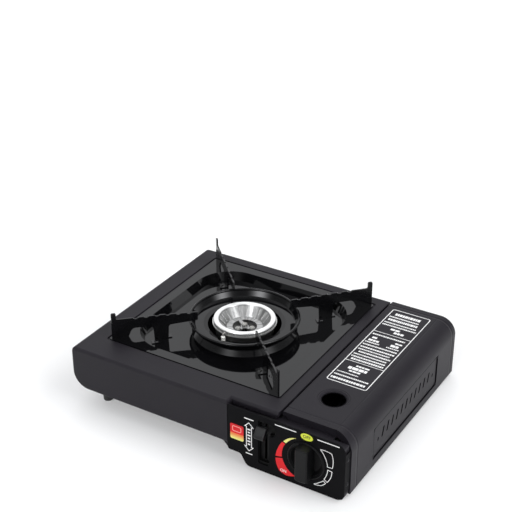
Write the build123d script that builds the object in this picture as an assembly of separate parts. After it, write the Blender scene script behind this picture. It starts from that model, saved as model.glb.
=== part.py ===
from build123d import *
import math
import os

# Butane cassette stove. Millimetres, +Z up, the table at z = 0.
# The model is drawn with x = 0 at mid width, y = 0 at the front plane (+y to the rear), and is
# moved at the end so that the origin is the bottom centre of its box.

# ---------------------------------------------------------------- overall sizes
BODY_W = 340.0
BODY_D = 271.0
DECK_Z = 73.0            # top of the deck above the table
LEFT_FLOOR_Z = 22.0      # underside of the burner section
BAY_FLOOR_Z = 2.5        # underside of the cartridge trough
SHEET = 0.8              # body sheet
KNOB_PROUD = 12.0        # knob grip in front of the front plane
SIDE_X = BODY_W / 2
REST_GAP = 0.3           # between pieces of different bodies that rest on each other
RUN_FIT = 0.05           # radial clearance of a turning or sliding fit

# ---------------------------------------------------------------- body cover
LOWER_R = 20.0           # left lower corner, seen from the front
UPPER_R = 6.0            # left upper corner
BEND_R = 3.5             # bends round the front and rear faces
COVER_EDGE_X = 87.4      # right edge of the deck
COVER_FLANGE = 5.0
WRAP_X = -148.0          # where the left side ends under the floor
STEP_X = 33.0            # the deck steps back behind the panel from here
STEP_Y = 10.0
DECK_LIP = 7.0           # lip in the step below the deck
DECK_LIP_Z = DECK_Z - DECK_LIP

# ---------------------------------------------------------------- base pan
BASE_Y0 = 1.3
BASE_Y1 = BODY_D - 1.2
BASE_PLATE_Z = LEFT_FLOOR_Z + SHEET
BASE_RIGHT_X = SIDE_X - 2.0
BASE_STEPS = ((27.0, BASE_PLATE_Z), (34.0, 15.5), (49.5, 15.5), (57.0, BAY_FLOOR_Z))
BASE_FLANGE = 9.0
BASE_RIGHT_TOP_Z = 34.0
AIR_SLOT_L = 34.0
AIR_SLOT_W = 5.0
AIR_SLOTS = 7
AIR_SLOT_PITCH = 13.0

# ---------------------------------------------------------------- partition and bridge
PART_X = 84.0            # left face of the partition
LEVER_BAY_X = (62.0, 96.5)       # behind the panel, cleared for the lever and its guide
LEVER_BAY_Y = 9.0
BRIDGE_DROP = 9.0        # top of the front bridge below the deck
BRIDGE_Z = DECK_Z - BRIDGE_DROP
BRIDGE_Y1 = 30.0

# ---------------------------------------------------------------- control panel
PANEL_Y = 0.3
PANEL_T = BASE_Y0 - PANEL_Y
PANEL_X0 = STEP_X + 0.3
PANEL_X1 = SIDE_X - 0.5
PANEL_DROP = 2.0
PANEL_TOP_Z = DECK_Z - PANEL_DROP
PANEL_TOP_R = 11.0
PANEL_BOTTOM_Z = 2.0
PANEL_BOTTOM_R = 9.0

# ---------------------------------------------------------------- cartridge axis and knob
AXIS_X = 126.0
AXIS_Z = 36.5
KNOB_R = 21.2
KNOB_CUP_R = 18.0
GRIP_W = 14.0
SPINDLE_R = 3.0

# ---------------------------------------------------------------- lid
LID_X0 = 89.0
LID_FRONT_Y = 16.5       # front edge on the top
LID_SIDE_Y = 12.5        # front edge on the side
LID_SHOULDER_R = 19.0
LID_BOTTOM_Z = 4.0
LID_LIP = DECK_Z - BRIDGE_Z - REST_GAP
LID_LEFT_R = 2.0
LID_FLANGE_DROP = 5.7
LID_FLANGE_Z = DECK_Z - LID_FLANGE_DROP
LID_LIP_Y = (LID_SIDE_Y - 0.6, LID_FRONT_Y + 1.4)    # where the front lip swings
HINGE_X = 90.8
HINGE_DROP = 3.0
HINGE_Z = DECK_Z - HINGE_DROP
HINGE_PIN_R = 1.0
KNUCKLE_R = 1.8
HINGE_LENGTH = 36.0
HINGE_STARTS = (44.0, 208.0)
KNUCKLE_L = 10.0
VIEW_HOLE = (123.0, 62.6)
VIEW_HOLE_R = 12.5
VIEW_RIM_R = 16.0
VIEW_DEPTH = 1.6
VENT_Y = (63.0, 222.0)
VENT_Z = (14.0, 51.5)
VENT_DEPTH = 0.8
VENT_SLOTS = 13
VENT_PITCH = 11.4
VENT_FIRST_Y = 74.8
VENT_SLOT_Z = 35.0
VENT_SLOT_H = 11.0
VENT_SLOT_W = 2.4
VENT_LEAN = 18.0

# ---------------------------------------------------------------- burner
HEAD_R = 35.6
HEAD_TOP_Z = DECK_Z + 4.7
HEAD_SEAT_Z = DECK_Z + 0.9
HEAD_WALL = 2.6
HEAD_SHEET = 1.8
HEAD_THROAT_R = 29.5
HEAD_FLOOR_R = 20.5
HEAD_FLOOR_Z = DECK_Z - 6.5
PORTS = 84
PORT_W = 1.1
PORT_H = 2.3
FLUTES = 20
FLUTE_R = 0.9
OPENING_R = 14.0         # three-lobed opening in the head's floor
HUB_R = 4.4
SPOKES = (144.0, 258.0, 350.0)   # directions of its webs, degrees
SPOKE_W = 4.2
SCREW_AT = 11.0          # two screws on the last two webs, one in the hub
SCREW_R = 1.5
SCREW_END_Z = 52.0
BOSS_R = 3.3
BOSS_H = 2.2
BODY_FLANGE_R = HEAD_R + 1.0
BODY_FLOOR_Z = 34.0
CASTING_T = 2.2
TUBE_Z = 46.0
TUBE_R = 10.0
TUBE_T = 0.8
BELL_R = TUBE_R + 1.5
BRACKET_T = 1.2
JET_FROM_CENTRE = 140.0
JET_LINE = (math.sqrt(0.5), -math.sqrt(0.5), 0)

# ---------------------------------------------------------------- drip tray, bowl and arms
TRAY_C = (-34.8, 144.5)
TRAY_HALF = 109.25
TRAY_GAP = 2.2
TRAY_T = 1.0
TRAY_CORNER_R = 3.0
TRAY_RIM = 11.8
TRAY_DROP = 10.0         # deck to the floor of the dish
DISH_R = 45.0            # corners of the dish, at the rim
DISH_DRAFT = 5.0
LEDGE_W = 7.5
WELL_X = TRAY_C[0] + TRAY_HALF + TRAY_GAP + SHEET      # right wall of the tray well
TRAY_TOP_Z = DECK_Z - 0.1
TRAY_FLOOR_Z = DECK_Z - TRAY_DROP
FLAME_GAP = 6.4          # between the ring and the bowl's hole
BOWL_LAP = 5.0           # bowl inside the tray's hole
LAND_W = 5.5
COLLAR_FLARE = 7.5
BOWL_OVER = 3.7          # bowl floor beyond the collar's land
BOWL_WALL = 7.3          # bowl floor to rim, in plan
BOWL_HOLE_R = HEAD_R + FLAME_GAP
TRAY_HOLE_R = BOWL_HOLE_R + BOWL_LAP
COLLAR_LAND_R = TRAY_HOLE_R + LAND_W
COLLAR_R = COLLAR_LAND_R + COLLAR_FLARE  # foot of the raised collar round the burner hole
COLLAR_Z = DECK_Z - 2.0  # land that the bowl sits on
BOWL_FLOOR_R = COLLAR_LAND_R + BOWL_OVER
BOWL_RIM_R = BOWL_FLOOR_R + BOWL_WALL
BOWL_ROLL_R = 1.6
BOWL_TOP_Z = DECK_Z + 8.0
BOWL_T = 1.0
BOWL_NOTCH_R = 6.0       # clears the electrode
ARM_T = 1.8
ARM_OUT = 151.0          # from the burner's centre to the outer edge of an arm
ARM_IN = 54.0
LUG_TOP = 31.0           # above the deck
LUG_W = 5.5
ARM_TOP_OUT = 23.0
ARM_TOP_IN = 20.2
ARM_UNDER = 9.4
MID_LEG = (88.0, 103.5)
OUTER_LEG = 132.0
TEETH = 6
TOOTH_PITCH = 12.0
TOOTH_FIRST = 123.5
TOOTH_NOTCH_R = 1.9
FOOT_W = 7.0
FOOT_T = 1.2
FOOT_REACH = 4.5         # feet beyond the mid leg, along the arm
RIVET_R = 1.6
ARM_ANGLES = (45, 135, 225, 315)
ARM_NAMES = ("rear_right", "rear_left", "front_left", "front_right")

# ---------------------------------------------------------------- ignition
SPARK_REACH = 6.6573071  # electrode outside the ring
ELECTRODE_TURN = -92.9842821    # its direction from the burner's centre, degrees
ELECTRODE_FAR = HEAD_R + SPARK_REACH
ELECTRODE = (
    TRAY_C[0] + ELECTRODE_FAR * math.cos(math.radians(ELECTRODE_TURN)),
    TRAY_C[1] + ELECTRODE_FAR * math.sin(math.radians(ELECTRODE_TURN)),
)
ELECTRODE_PAD = HEAD_R - 1.1     # face of the pad, from the burner's centre
ELECTRODE_R = 0.8
INSULATOR_R = 2.4
BRACKET_Z = 57.0
PIEZO_X = (92.0, 108.0)
PIEZO_Y = (7.9, 18.9)
PIEZO_Z = (31.0, 42.0)
PLUNGER_R = 2.5
PLUNGER_Y = (9.6, 12.3)          # the toe, in line with the cam
PLUNGER_TIP_X = 118.4
CAM_Y = (9.3, 12.6)
CAM_LEAD = 58.0                  # direction of the cam's nose at OFF, degrees
WIRE_R = 1.25
WIRE_POINTS = (
    (PIEZO_X[0], 13.4, 38.0), (88.6, 13.4, 38.0), (88.6, 22.0, 57.6), (58.0, 22.0, 57.6),
    (38.0, 46.0, 58.4), (12.0, 70.0, 58.4), (-12.0, 88.0, 56.0), (-28.0, 97.5, 47.0),
    (*ELECTRODE, 42.0), (*ELECTRODE, 48.5),
)
WIRE_RADII = [3.0, 7.0, 14.0, 26.0, 26.0, 18.0, 8.0, 3.0]

# ---------------------------------------------------------------- lock lever and slide
LEVER_X = 76.0
LEVER_T = 1.2
LEVER_PIVOT = (52.0, 39.0)       # y, z
LEVER_SWING = 30.0
LEVER_PIN_R = 2.0
DRIVE_ARM = 18.0
DRIVE_PIN_R = 1.5
SLOT_X = 76.6
SLOT_W = 13.0
SLOT_Z = (11.0, 65.0)
SLIDE_X = 86.2
SLIDE_T = 1.0
SLIDE_Z = (49.0, 61.5)
SLIDE_Y = (40.0, 255.0)
GUIDE_RIVETS_Y = (96.0, 192.0)
GUIDE_RIVET_Z = 55.0

# ---------------------------------------------------------------- regulator
REG_FRONT_Y = 14.0
REG_CHAMBER_Y = 20.0
REG_JOINT_Y = 36.0
REG_R = 25.0
REG_FLANGE_R = 30.5
REG_SCREW_R = 28.0
SOCKET_END_Y = 57.0
SOCKET_R = 13.0
SOCKET_BORE_R = 7.7
SOCKET_BORE_L = 6.0      # from the mouth to the seal's seat
SEAL_R = 7.0
GUIDE_Y = 55.0
PIPE_R = 3.0
PIPE_Z = 22.0
PIPE_Y = 29.0

# ---------------------------------------------------------------- feet and screws
LEFT_FEET_X = -141.2
RIGHT_FEET_X = 152.0
FEET_Y = (24.0, 247.0)
LEFT_FOOT_R = (6.4, 5.4)         # at the top and at the tread
RIGHT_FOOT_R = (8.0, 7.4)
FLANGE_SCREW_R = 1.2
FLANGE_SCREW_L = 5.0
FLANGE_SCREW_Y = 6.5
FLANGE_SCREWS_Z = (20.0, 50.0)

Y_ORIGIN = (BODY_D - KNOB_PROUD) / 2


# ---------------------------------------------------------------- helpers
def block(x0, x1, y0, y1, z0, z1):
    """Box between two corners."""
    centre = ((x0 + x1) / 2, (y0 + y1) / 2, (z0 + z1) / 2)
    return Pos(*centre) * Box(x1 - x0, y1 - y0, z1 - z0)


def rounded(points, radii):
    """Closed outline of straight runs, each corner with its own radius (0 is sharp)."""
    outline = Polygon(*points, align=None)
    for point, radius in zip(points, radii):
        if radius > 0:
            corner = outline.vertices().sort_by_distance((*point, 0))[0]
            outline = fillet(corner, radius)
    return outline


def along_y(sketch, y0, y1):
    """Front-view sketch (x, z) run from depth y0 to y1."""
    plane = Plane(origin=(0, y0, 0), x_dir=(1, 0, 0), z_dir=(0, -1, 0))
    return extrude(plane * sketch, amount=-(y1 - y0))


def along_x(sketch, x0, x1):
    """Side-view sketch (y, z) run from x0 to x1."""
    plane = Plane(origin=(x0, 0, 0), x_dir=(0, 1, 0), z_dir=(1, 0, 0))
    return extrude(plane * sketch, amount=x1 - x0)


def along_z(sketch, z0, z1):
    """Plan sketch (x, y) run from height z0 to z1."""
    return extrude(Plane(origin=(0, 0, z0)) * sketch, amount=z1 - z0)


def cylinder(start, direction, length, radius):
    """Round bar from a point along a direction."""
    return extrude(Plane(origin=start, z_dir=direction) * Circle(radius), amount=length)


def turned(points, origin=(0, 0, 0), direction=(0, 0, 1)):
    """Solid turned from an (r, height) outline about an axis."""
    solid = revolve(Plane.XZ * Polygon(*points, align=None), axis=Axis.Z)
    return Plane(origin=origin, z_dir=direction) * solid


def fused(solids):
    """One solid from a list."""
    whole = solids[0]
    for solid in solids[1:]:
        whole += solid
    return whole


def group(solids):
    """Separate solids kept in one piece list."""
    return Compound([part for item in solids for part in item.solids()])


# ---------------------------------------------------------------- body cover
def cover_block(inset):
    """Burner section as a block with its walls moved in; it steps back behind the panel."""
    left, floor, top = -SIDE_X + inset, LEFT_FLOOR_Z + inset, DECK_Z - inset
    right = COVER_EDGE_X - inset
    outline = rounded(
        [(left, floor), (right, floor), (right, top), (left, top)],
        [LOWER_R - inset, 0, 0, UPPER_R - inset],
    )
    solid = along_y(outline, inset, BODY_D - inset)
    step = (STEP_X - inset, COVER_EDGE_X + 1, -1, STEP_Y + inset, 0, DECK_Z + 1)
    solid -= block(*step)
    rims = []
    for edge in solid.edges():
        mid = edge @ 0.5
        on_face = abs(mid.Y - inset) < 0.01 or abs(mid.Y - (BODY_D - inset)) < 0.01
        on_step = mid.Z > top - 0.01 and (
            abs(mid.Y - STEP_Y - inset) < 0.01
            or (abs(mid.X - STEP_X + inset) < 0.01 and mid.Y < STEP_Y)
        )
        flat_floor = mid.Z < floor + 0.01 and edge.geom_type == GeomType.LINE
        upright = mid.X > STEP_X - inset - 0.1 and mid.Z < top - 0.1
        if (on_face or on_step) and not flat_floor and not upright:
            rims.append(edge)
    return fillet(rims, BEND_R - inset)


def body_cover():
    """Pressed cover: deck, front, rear and left walls, tray well with its ledge."""
    shell = cover_block(0) - cover_block(SHEET)
    inner = (SHEET, BODY_D - SHEET)
    shell -= block(WRAP_X, COVER_EDGE_X - SHEET, *inner, 0, DECK_Z - 3 * BEND_R)
    shell -= block(COVER_EDGE_X - 1.5, COVER_EDGE_X + 1, *inner, 0, DECK_Z - COVER_FLANGE)
    shell -= block(STEP_X, COVER_EDGE_X + 1, STEP_Y - 1, STEP_Y + 2, 0, DECK_LIP_Z)
    cx, cy = TRAY_C
    well = TRAY_HALF + TRAY_GAP
    ledge_top = TRAY_TOP_Z - TRAY_T - REST_GAP
    ledge_bottom = ledge_top - SHEET
    outside = RectangleRounded(2 * (well + SHEET), 2 * (well + SHEET), 4)
    pocket = RectangleRounded(2 * well, 2 * well, 3.2)
    hole = RectangleRounded(2 * (well - LEDGE_W), 2 * (well - LEDGE_W), 3)
    shell -= Pos(cx, cy, 0) * along_z(pocket, ledge_bottom, DECK_Z + 1)
    frame = along_z(outside, ledge_bottom, DECK_Z) - along_z(pocket, ledge_top, DECK_Z + 1)
    frame -= along_z(hole, ledge_bottom - 1, DECK_Z)
    return shell + Pos(cx, cy, 0) * frame


# ---------------------------------------------------------------- base pan
def base_outline():
    """Stepped floor line of the pan, closed far above it."""
    left = WRAP_X - 2.0
    high = DECK_Z + 20
    points = [(left, BASE_PLATE_Z), *BASE_STEPS, (BASE_RIGHT_X, BAY_FLOOR_Z)]
    points += [(BASE_RIGHT_X, high), (left, high)]
    return rounded(points, [0, 4, 4, 4, 5, 4, 0, 0])


def base_pan():
    """Stepped base pan with the cartridge trough, rear wall and air slots."""
    outline = base_outline()
    inner = offset(outline, amount=-SHEET, kind=Kind.INTERSECTION)
    pan = along_y(outline, BASE_Y0, BASE_Y1)
    pan -= along_y(inner, BASE_Y0 + SHEET, BASE_Y1 - SHEET)
    flange_z = BASE_PLATE_Z + BASE_FLANGE
    rear_top = LID_FLANGE_Z - 0.5
    pan -= block(-SIDE_X, SIDE_X, BASE_Y0 - 1, BASE_Y1 - 2, BASE_RIGHT_TOP_Z, DECK_Z + 30)
    pan -= block(-SIDE_X, SIDE_X, BASE_Y1 - 3, BASE_Y1 + 1, rear_top, DECK_Z + 30)
    pan -= block(-SIDE_X, PART_X, BASE_Y0 - 1, BASE_Y1 + 1, flange_z, DECK_Z + 30)
    pan -= block(PART_X, SIDE_X - 3, BASE_Y0 - 1, BASE_Y0 + 1, BAY_FLOOR_Z + BASE_FLANGE, DECK_Z)
    pan -= block(SIDE_X - 10, SIDE_X, *LID_LIP_Y, BAY_FLOOR_Z + SHEET, DECK_Z)
    pan -= block(*LEVER_BAY_X, 0, LEVER_BAY_Y, BAY_FLOOR_Z + SHEET + 1, DECK_Z)
    pan -= block(-SIDE_X, WRAP_X - 2 + SHEET, 0, BODY_D, BASE_PLATE_Z + SHEET, DECK_Z)
    pan -= block(SIDE_X - 10, SIDE_X, BASE_Y1 - 3, BASE_Y1 + 1, BASE_RIGHT_TOP_Z, DECK_Z)
    for y0, y1 in ((0, 2 * BEND_R), (BODY_D - 2 * BEND_R, BODY_D)):
        pan -= block(-SIDE_X, WRAP_X + 0.3, y0, y1, 0, DECK_Z)
    slot = SlotOverall(AIR_SLOT_L, AIR_SLOT_W)
    for side in (-1, 1):
        for i in range(AIR_SLOTS):
            x = TRAY_C[0] + side * (AIR_SLOT_L * 0.5 + 16)
            y = TRAY_C[1] + (i - (AIR_SLOTS - 1) / 2) * AIR_SLOT_PITCH
            if abs(y - TRAY_C[1]) > 1:
                pan -= Pos(x, y, 0) * along_z(slot, BASE_PLATE_Z - 1, BASE_PLATE_Z + 2)
    return pan - flange_screw_holes(FLANGE_SCREW_R)


def foot(x, y, height, r_top, r_low):
    """Rubber foot under the base, tapering to its tread."""
    points = [(0, 0), (r_low - 0.6, 0), (r_low, 0.6), (r_top, height), (0, height)]
    return turned(points, origin=(x, y, 0))


# ---------------------------------------------------------------- inner sheets
def partition():
    """Heat shield between burner and cartridge, a Z section with cut-outs."""
    top = DECK_Z - SHEET
    floor = BAY_FLOOR_Z + SHEET
    y0, y1 = BASE_Y0 + SHEET, BASE_Y1 - SHEET
    wall = block(PART_X, PART_X + SHEET, y0, y1, floor, top)
    flanges = [
        block(WELL_X + 1, PART_X + SHEET, BRIDGE_Y1 + 2, y1 - 4, top - SHEET, top),
        block(PART_X - 12, PART_X + SHEET, y0 + 20, y1, floor, floor + SHEET),
    ]
    sheet = fused([wall, *flanges])
    sheet -= block(PART_X - 1, PART_X + 2, 0, BRIDGE_Y1 + 1, BRIDGE_Z - SHEET - 0.2, DECK_Z)
    sheet -= block(PART_X - 1, PART_X + 2, 0, LEVER_BAY_Y, 8, DECK_Z)
    sheet -= block(PART_X - 1, PART_X + 2, y1 - 4, y1 + 1, top - BEND_R, DECK_Z)
    pipe_hole = (PART_X - 1, PIPE_Y + 2.5, PIPE_Z)
    sheet -= cylinder(pipe_hole, (1, 0, 0), 3, PIPE_R + 3)
    pivot_y, pivot_z = LEVER_PIVOT
    window = (PART_X - 1, PART_X + 2, pivot_y - 9, pivot_y + 9, pivot_z + 13, pivot_z + 21)
    sheet -= block(*window)
    sheet -= cylinder((PART_X - 1, WIRE_POINTS[2][1], WIRE_POINTS[2][2]), (1, 0, 0), 3, 2.6)
    louvre = SlotOverall(16, 4)
    for i in range(8):
        sheet -= along_x(Pos(92 + i * 22, 12) * louvre, PART_X - 1, PART_X + 2)
    return sheet


def front_bridge():
    """Sheet behind the panel that ties panel, partition and base together."""
    y0, ear_y = BASE_Y0, LID_LIP_Y[0]
    right = BASE_RIGHT_X - SHEET
    lid_x = SIDE_X - LID_SHOULDER_R - 1
    parts = [
        block(STEP_X, right, y0, ear_y, BRIDGE_Z - SHEET, BRIDGE_Z),
        block(STEP_X, lid_x, y0, BRIDGE_Y1, BRIDGE_Z - SHEET, BRIDGE_Z),
        block(STEP_X, right, y0, y0 + SHEET, BRIDGE_Z - 9, BRIDGE_Z),
        block(STEP_X, STEP_X + SHEET, y0, STEP_Y, BRIDGE_Z - 14, BRIDGE_Z),
        block(right - SHEET, right, y0 + SHEET, ear_y, BASE_RIGHT_TOP_Z - 6, BRIDGE_Z),
        block(PART_X + 6, lid_x, BRIDGE_Y1 - SHEET, BRIDGE_Y1, BRIDGE_Z - 2, BRIDGE_Z),
    ]
    bridge = fused(parts) - block(*LEVER_BAY_X, y0 - 1, LEVER_BAY_Y, 0, BRIDGE_Z + 1)
    return bridge - flange_screw_holes(FLANGE_SCREW_R)


# ---------------------------------------------------------------- control panel
def panel_outline():
    """Front view of the panel, its lower left corner stepped like the base."""
    (ax, _), (bx, bz), (cx, cz), (dx, _) = BASE_STEPS
    drop = BAY_FLOOR_Z - PANEL_BOTTOM_Z
    points = [
        (PANEL_X0, PANEL_TOP_Z), (PANEL_X0, bz - drop), (cx - 0.5, cz - drop),
        (dx - 1.0, PANEL_BOTTOM_Z), (PANEL_X1, PANEL_BOTTOM_Z), (PANEL_X1, PANEL_TOP_Z - 1.5),
    ]
    return rounded(points, [0.8, 3, 5, 7, PANEL_BOTTOM_R, PANEL_TOP_R])


def control_panel():
    """Printed sheet panel with the knob opening, the lever slot and a side flange."""
    panel = along_y(panel_outline(), PANEL_Y, PANEL_Y + PANEL_T)
    flange = (PANEL_BOTTOM_Z + PANEL_BOTTOM_R, PANEL_TOP_Z - PANEL_TOP_R - 2)
    panel += block(BASE_RIGHT_X, BASE_RIGHT_X + PANEL_T, BASE_Y0, LID_SIDE_Y - 1, *flange)
    panel -= flange_screw_holes(FLANGE_SCREW_R + RUN_FIT)
    panel -= cylinder((AXIS_X, PANEL_Y - 1, AXIS_Z), (0, 1, 0), 4, KNOB_CUP_R + 0.5)
    height = SLOT_Z[1] - SLOT_Z[0]
    slot = Pos(SLOT_X, sum(SLOT_Z) / 2) * RectangleRounded(SLOT_W, height, 2.5)
    slot += Pos(SLOT_X + SLOT_W / 2 + 0.5, SLOT_Z[1] - 8.5) * Circle(7.5)
    return panel - along_y(slot, PANEL_Y - 1, BASE_Y0 + 1)


def lever_guide():
    """Plastic guide behind the slot, a dished plate in which the lever blade runs."""
    height = SLOT_Z[1] - SLOT_Z[0]
    mid = sum(SLOT_Z) / 2
    y0 = BASE_Y0 + SHEET
    plate = along_y(Pos(SLOT_X + 2, mid) * RectangleRounded(SLOT_W + 11, height + 4, 3), y0, y0 + 5)
    well = Pos(SLOT_X, mid) * RectangleRounded(SLOT_W - 1, height - 5, 2)
    well += Pos(SLOT_X + SLOT_W / 2 + 0.5, SLOT_Z[1] - 9) * Circle(6.2)
    plate -= along_y(well, y0 - 1, y0 + 3.5)
    blade = Pos(LEVER_X + LEVER_T / 2, mid) * RectangleRounded(LEVER_T + 1.6, height - 8, 1.2)
    return plate - along_y(blade, y0 - 1, y0 + 6)


def knob():
    """Knob: thin skirt, dished face, full-width grip bar and a bored hub."""
    y = PANEL_Y - REST_GAP
    profile = [
        (0, -5.4), (KNOB_CUP_R, -5.4), (KNOB_CUP_R, 0), (KNOB_R, 0), (KNOB_R, 0.7),
        (KNOB_R - 0.9, 1.6), (KNOB_R - 1.8, 1.2), (KNOB_CUP_R - 2.6, -3.6), (0, -3.6),
    ]
    dish = turned(profile, origin=(AXIS_X, y, AXIS_Z), direction=(0, -1, 0))
    grip = Pos(AXIS_X, 0, AXIS_Z) * along_y(Rectangle(GRIP_W, 60), -KNOB_PROUD, 4)
    limit = turned(
        [(0, -4), (KNOB_CUP_R - 0.6, -4), (KNOB_CUP_R - 0.6, 0.5), (KNOB_R - 0.5, 0.5),
         (KNOB_R - 1.4, KNOB_PROUD), (0, KNOB_PROUD)],
        origin=(AXIS_X, 0, AXIS_Z), direction=(0, -1, 0),
    )
    grip = grip & limit
    grip = fillet(grip.faces().sort_by(Axis.Y)[0].edges(), 1.8)
    hub = cylinder((AXIS_X, 3, AXIS_Z), (0, 1, 0), 6, 6.5)
    whole = fused([dish, grip, hub])
    bore = cylinder((AXIS_X, 1, AXIS_Z), (0, 1, 0), 12, SPINDLE_R + RUN_FIT / 2)
    flat = block(AXIS_X - 4, AXIS_X + 4, 0, 12, AXIS_Z + SPINDLE_R - 0.75, AXIS_Z + 5)
    return whole - (bore - flat)


def valve_spindle():
    """Brass spindle with a flat for the knob and a needle end."""
    shaft = turned(
        [(0, 1.4), (SPINDLE_R - 0.3, 1.4), (SPINDLE_R, 1.8), (SPINDLE_R, 24),
         (1.4, 26), (0.5, 31), (0, 31)],
        origin=(AXIS_X, 0, AXIS_Z), direction=(0, 1, 0),
    )
    flat = block(AXIS_X - 4, AXIS_X + 4, 0, 9.1, AXIS_Z + SPINDLE_R - 0.8, AXIS_Z + 5)
    return shaft - flat


def igniter_cam():
    """Trip cam on the spindle, behind the knob hub."""
    disc = Circle(7) + Rot(0, 0, CAM_LEAD) * Pos(4.6, 0) * SlotOverall(11.4, 5)
    disc -= Circle(SPINDLE_R + RUN_FIT / 2)
    return along_y(Pos(AXIS_X, AXIS_Z) * disc, *CAM_Y)


# ---------------------------------------------------------------- lid
def lid_block(inset, grow=0.0):
    """Cover over the cartridge bay as a block; the front edge leans back on the top."""
    left, right = LID_X0 + inset, SIDE_X - inset
    top, floor = DECK_Z - inset, LID_BOTTOM_Z - grow
    outline = rounded(
        [(left, floor), (right, floor), (right, top), (left, top)],
        [0, 0, LID_SHOULDER_R - inset, max(LID_LEFT_R - inset, 0)],
    )
    front = LID_SIDE_Y + inset
    solid = along_y(outline, front, BODY_D - inset)
    lean = LID_FRONT_Y - LID_SIDE_Y
    cut = rounded(
        [(LID_X0 - 5, front - 1), (SIDE_X + 1, front - 1), (SIDE_X - 2, front),
         (SIDE_X - LID_SHOULDER_R, front + lean), (LID_X0 - 5, front + lean)],
        [0, 0, 3, 8, 0],
    )
    return solid - along_z(cut, 0, DECK_Z + 5)


def lid():
    """Cartridge lid: top, rounded shoulder, side with louvres, lips, view hole, knuckles."""
    shell = lid_block(0) - lid_block(SHEET, grow=5)
    lip = LID_LIP
    through = rounded(
        [(LID_X0 + 5, -5), (SIDE_X - lip, -5), (SIDE_X - lip, DECK_Z - lip),
         (LID_X0 + 5, DECK_Z - lip)],
        [0, 0, LID_SHOULDER_R - lip, 0],
    )
    shell -= along_y(through, 0, BODY_D + 5)
    shell -= block(LID_X0 - 1, LID_X0 + 5.5, 0, BODY_D + 5, 0, LID_FLANGE_Z)
    shell = view_hole(shell)
    shell = side_louvres(shell)
    for start in HINGE_STARTS:
        y0 = start + KNUCKLE_L + REST_GAP
        y1 = start + HINGE_LENGTH - KNUCKLE_L - REST_GAP
        for a, b in ((start - 1.5, y0), (y1, start + HINGE_LENGTH + 1.5)):
            notch = block(LID_X0 - 1, HINGE_X + 3, a, b, LID_FLANGE_Z - 2, DECK_Z - SHEET)
            shell -= notch
        knuckle = cylinder((HINGE_X, y0, HINGE_Z), (0, 1, 0), y1 - y0, KNUCKLE_R)
        web = block(HINGE_X - 1, HINGE_X + 1, y0, y1, HINGE_Z, DECK_Z - SHEET)
        bore = cylinder((HINGE_X, y0 - 1, HINGE_Z), (0, 1, 0), y1 - y0 + 2, HINGE_PIN_R + RUN_FIT)
        shell = shell + knuckle + web - bore
    return shell


def view_hole(shell):
    """Dished round hole above the cartridge's collar."""
    x, y = VIEW_HOLE
    low = DECK_Z - VIEW_DEPTH
    shell -= cylinder((x, y, DECK_Z - 4), (0, 0, 1), 8, VIEW_RIM_R)
    ring = turned(
        [(VIEW_HOLE_R, low - SHEET), (VIEW_HOLE_R + 1.2, low - SHEET),
         (VIEW_RIM_R, DECK_Z - SHEET), (VIEW_RIM_R, DECK_Z),
         (VIEW_HOLE_R + 1.2, low), (VIEW_HOLE_R, low)],
        origin=(x, y, 0),
    )
    return shell + ring


def side_louvres(shell):
    """Sunk field on the side wall with a row of leaning slots."""
    (y0, y1), (z0, z1) = VENT_Y, VENT_Z
    mid = ((y0 + y1) / 2, (z0 + z1) / 2)
    field = Pos(*mid) * RectangleRounded(y1 - y0, z1 - z0, 5)
    backing = Pos(*mid) * RectangleRounded(y1 - y0 + 2 * SHEET, z1 - z0 + 2 * SHEET, 5 + SHEET)
    shell += along_x(backing, SIDE_X - SHEET - VENT_DEPTH, SIDE_X - SHEET)
    shell -= along_x(field, SIDE_X - VENT_DEPTH, SIDE_X + 1)
    for i in range(VENT_SLOTS):
        y = VENT_FIRST_Y + i * VENT_PITCH
        short = i in (0, VENT_SLOTS - 1)
        height = VENT_SLOT_H * (0.4 if short else 1)
        z = VENT_SLOT_Z - (3 if short else 0)
        slot = Pos(y, z) * Rot(0, 0, 90 - VENT_LEAN) * SlotOverall(height, VENT_SLOT_W)
        shell -= along_x(slot, SIDE_X - 3, SIDE_X + 1)
    return shell


def hinge_bracket(start):
    """Bracket on the partition with two knuckles beside the lid's own."""
    x0 = PART_X + SHEET
    leaf_z = LID_FLANGE_Z - 0.2
    leaves = [
        block(x0, x0 + 1, start, start + HINGE_LENGTH, SLIDE_Z[1] + 0.7, leaf_z),
        block(x0, HINGE_X + 0.8, start, start + HINGE_LENGTH, leaf_z - 1, leaf_z),
    ]
    bracket = fused(leaves)
    far = start + HINGE_LENGTH - KNUCKLE_L
    for y0 in (start, far):
        bracket += cylinder((HINGE_X, y0, HINGE_Z), (0, 1, 0), KNUCKLE_L, KNUCKLE_R)
        bracket += block(HINGE_X - 0.8, HINGE_X + 0.8, y0, y0 + KNUCKLE_L, leaf_z - 1, HINGE_Z)
        bore = cylinder((HINGE_X, y0 - 1, HINGE_Z), (0, 1, 0), KNUCKLE_L + 2, HINGE_PIN_R + RUN_FIT)
        bracket -= bore
    gap = block(HINGE_X - 3.5, HINGE_X + 3, start + KNUCKLE_L, far, leaf_z - 2, DECK_Z)
    return bracket - gap


def hinge_pins():
    """One pin in each hinge, with a flat head."""
    pins = []
    for start in HINGE_STARTS:
        pin = cylinder((HINGE_X, start - 1, HINGE_Z), (0, 1, 0), HINGE_LENGTH + 2, HINGE_PIN_R)
        pins.append(pin + cylinder((HINGE_X, start - 1, HINGE_Z), (0, 1, 0), 0.7, 1.7))
    return group(pins)


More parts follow.
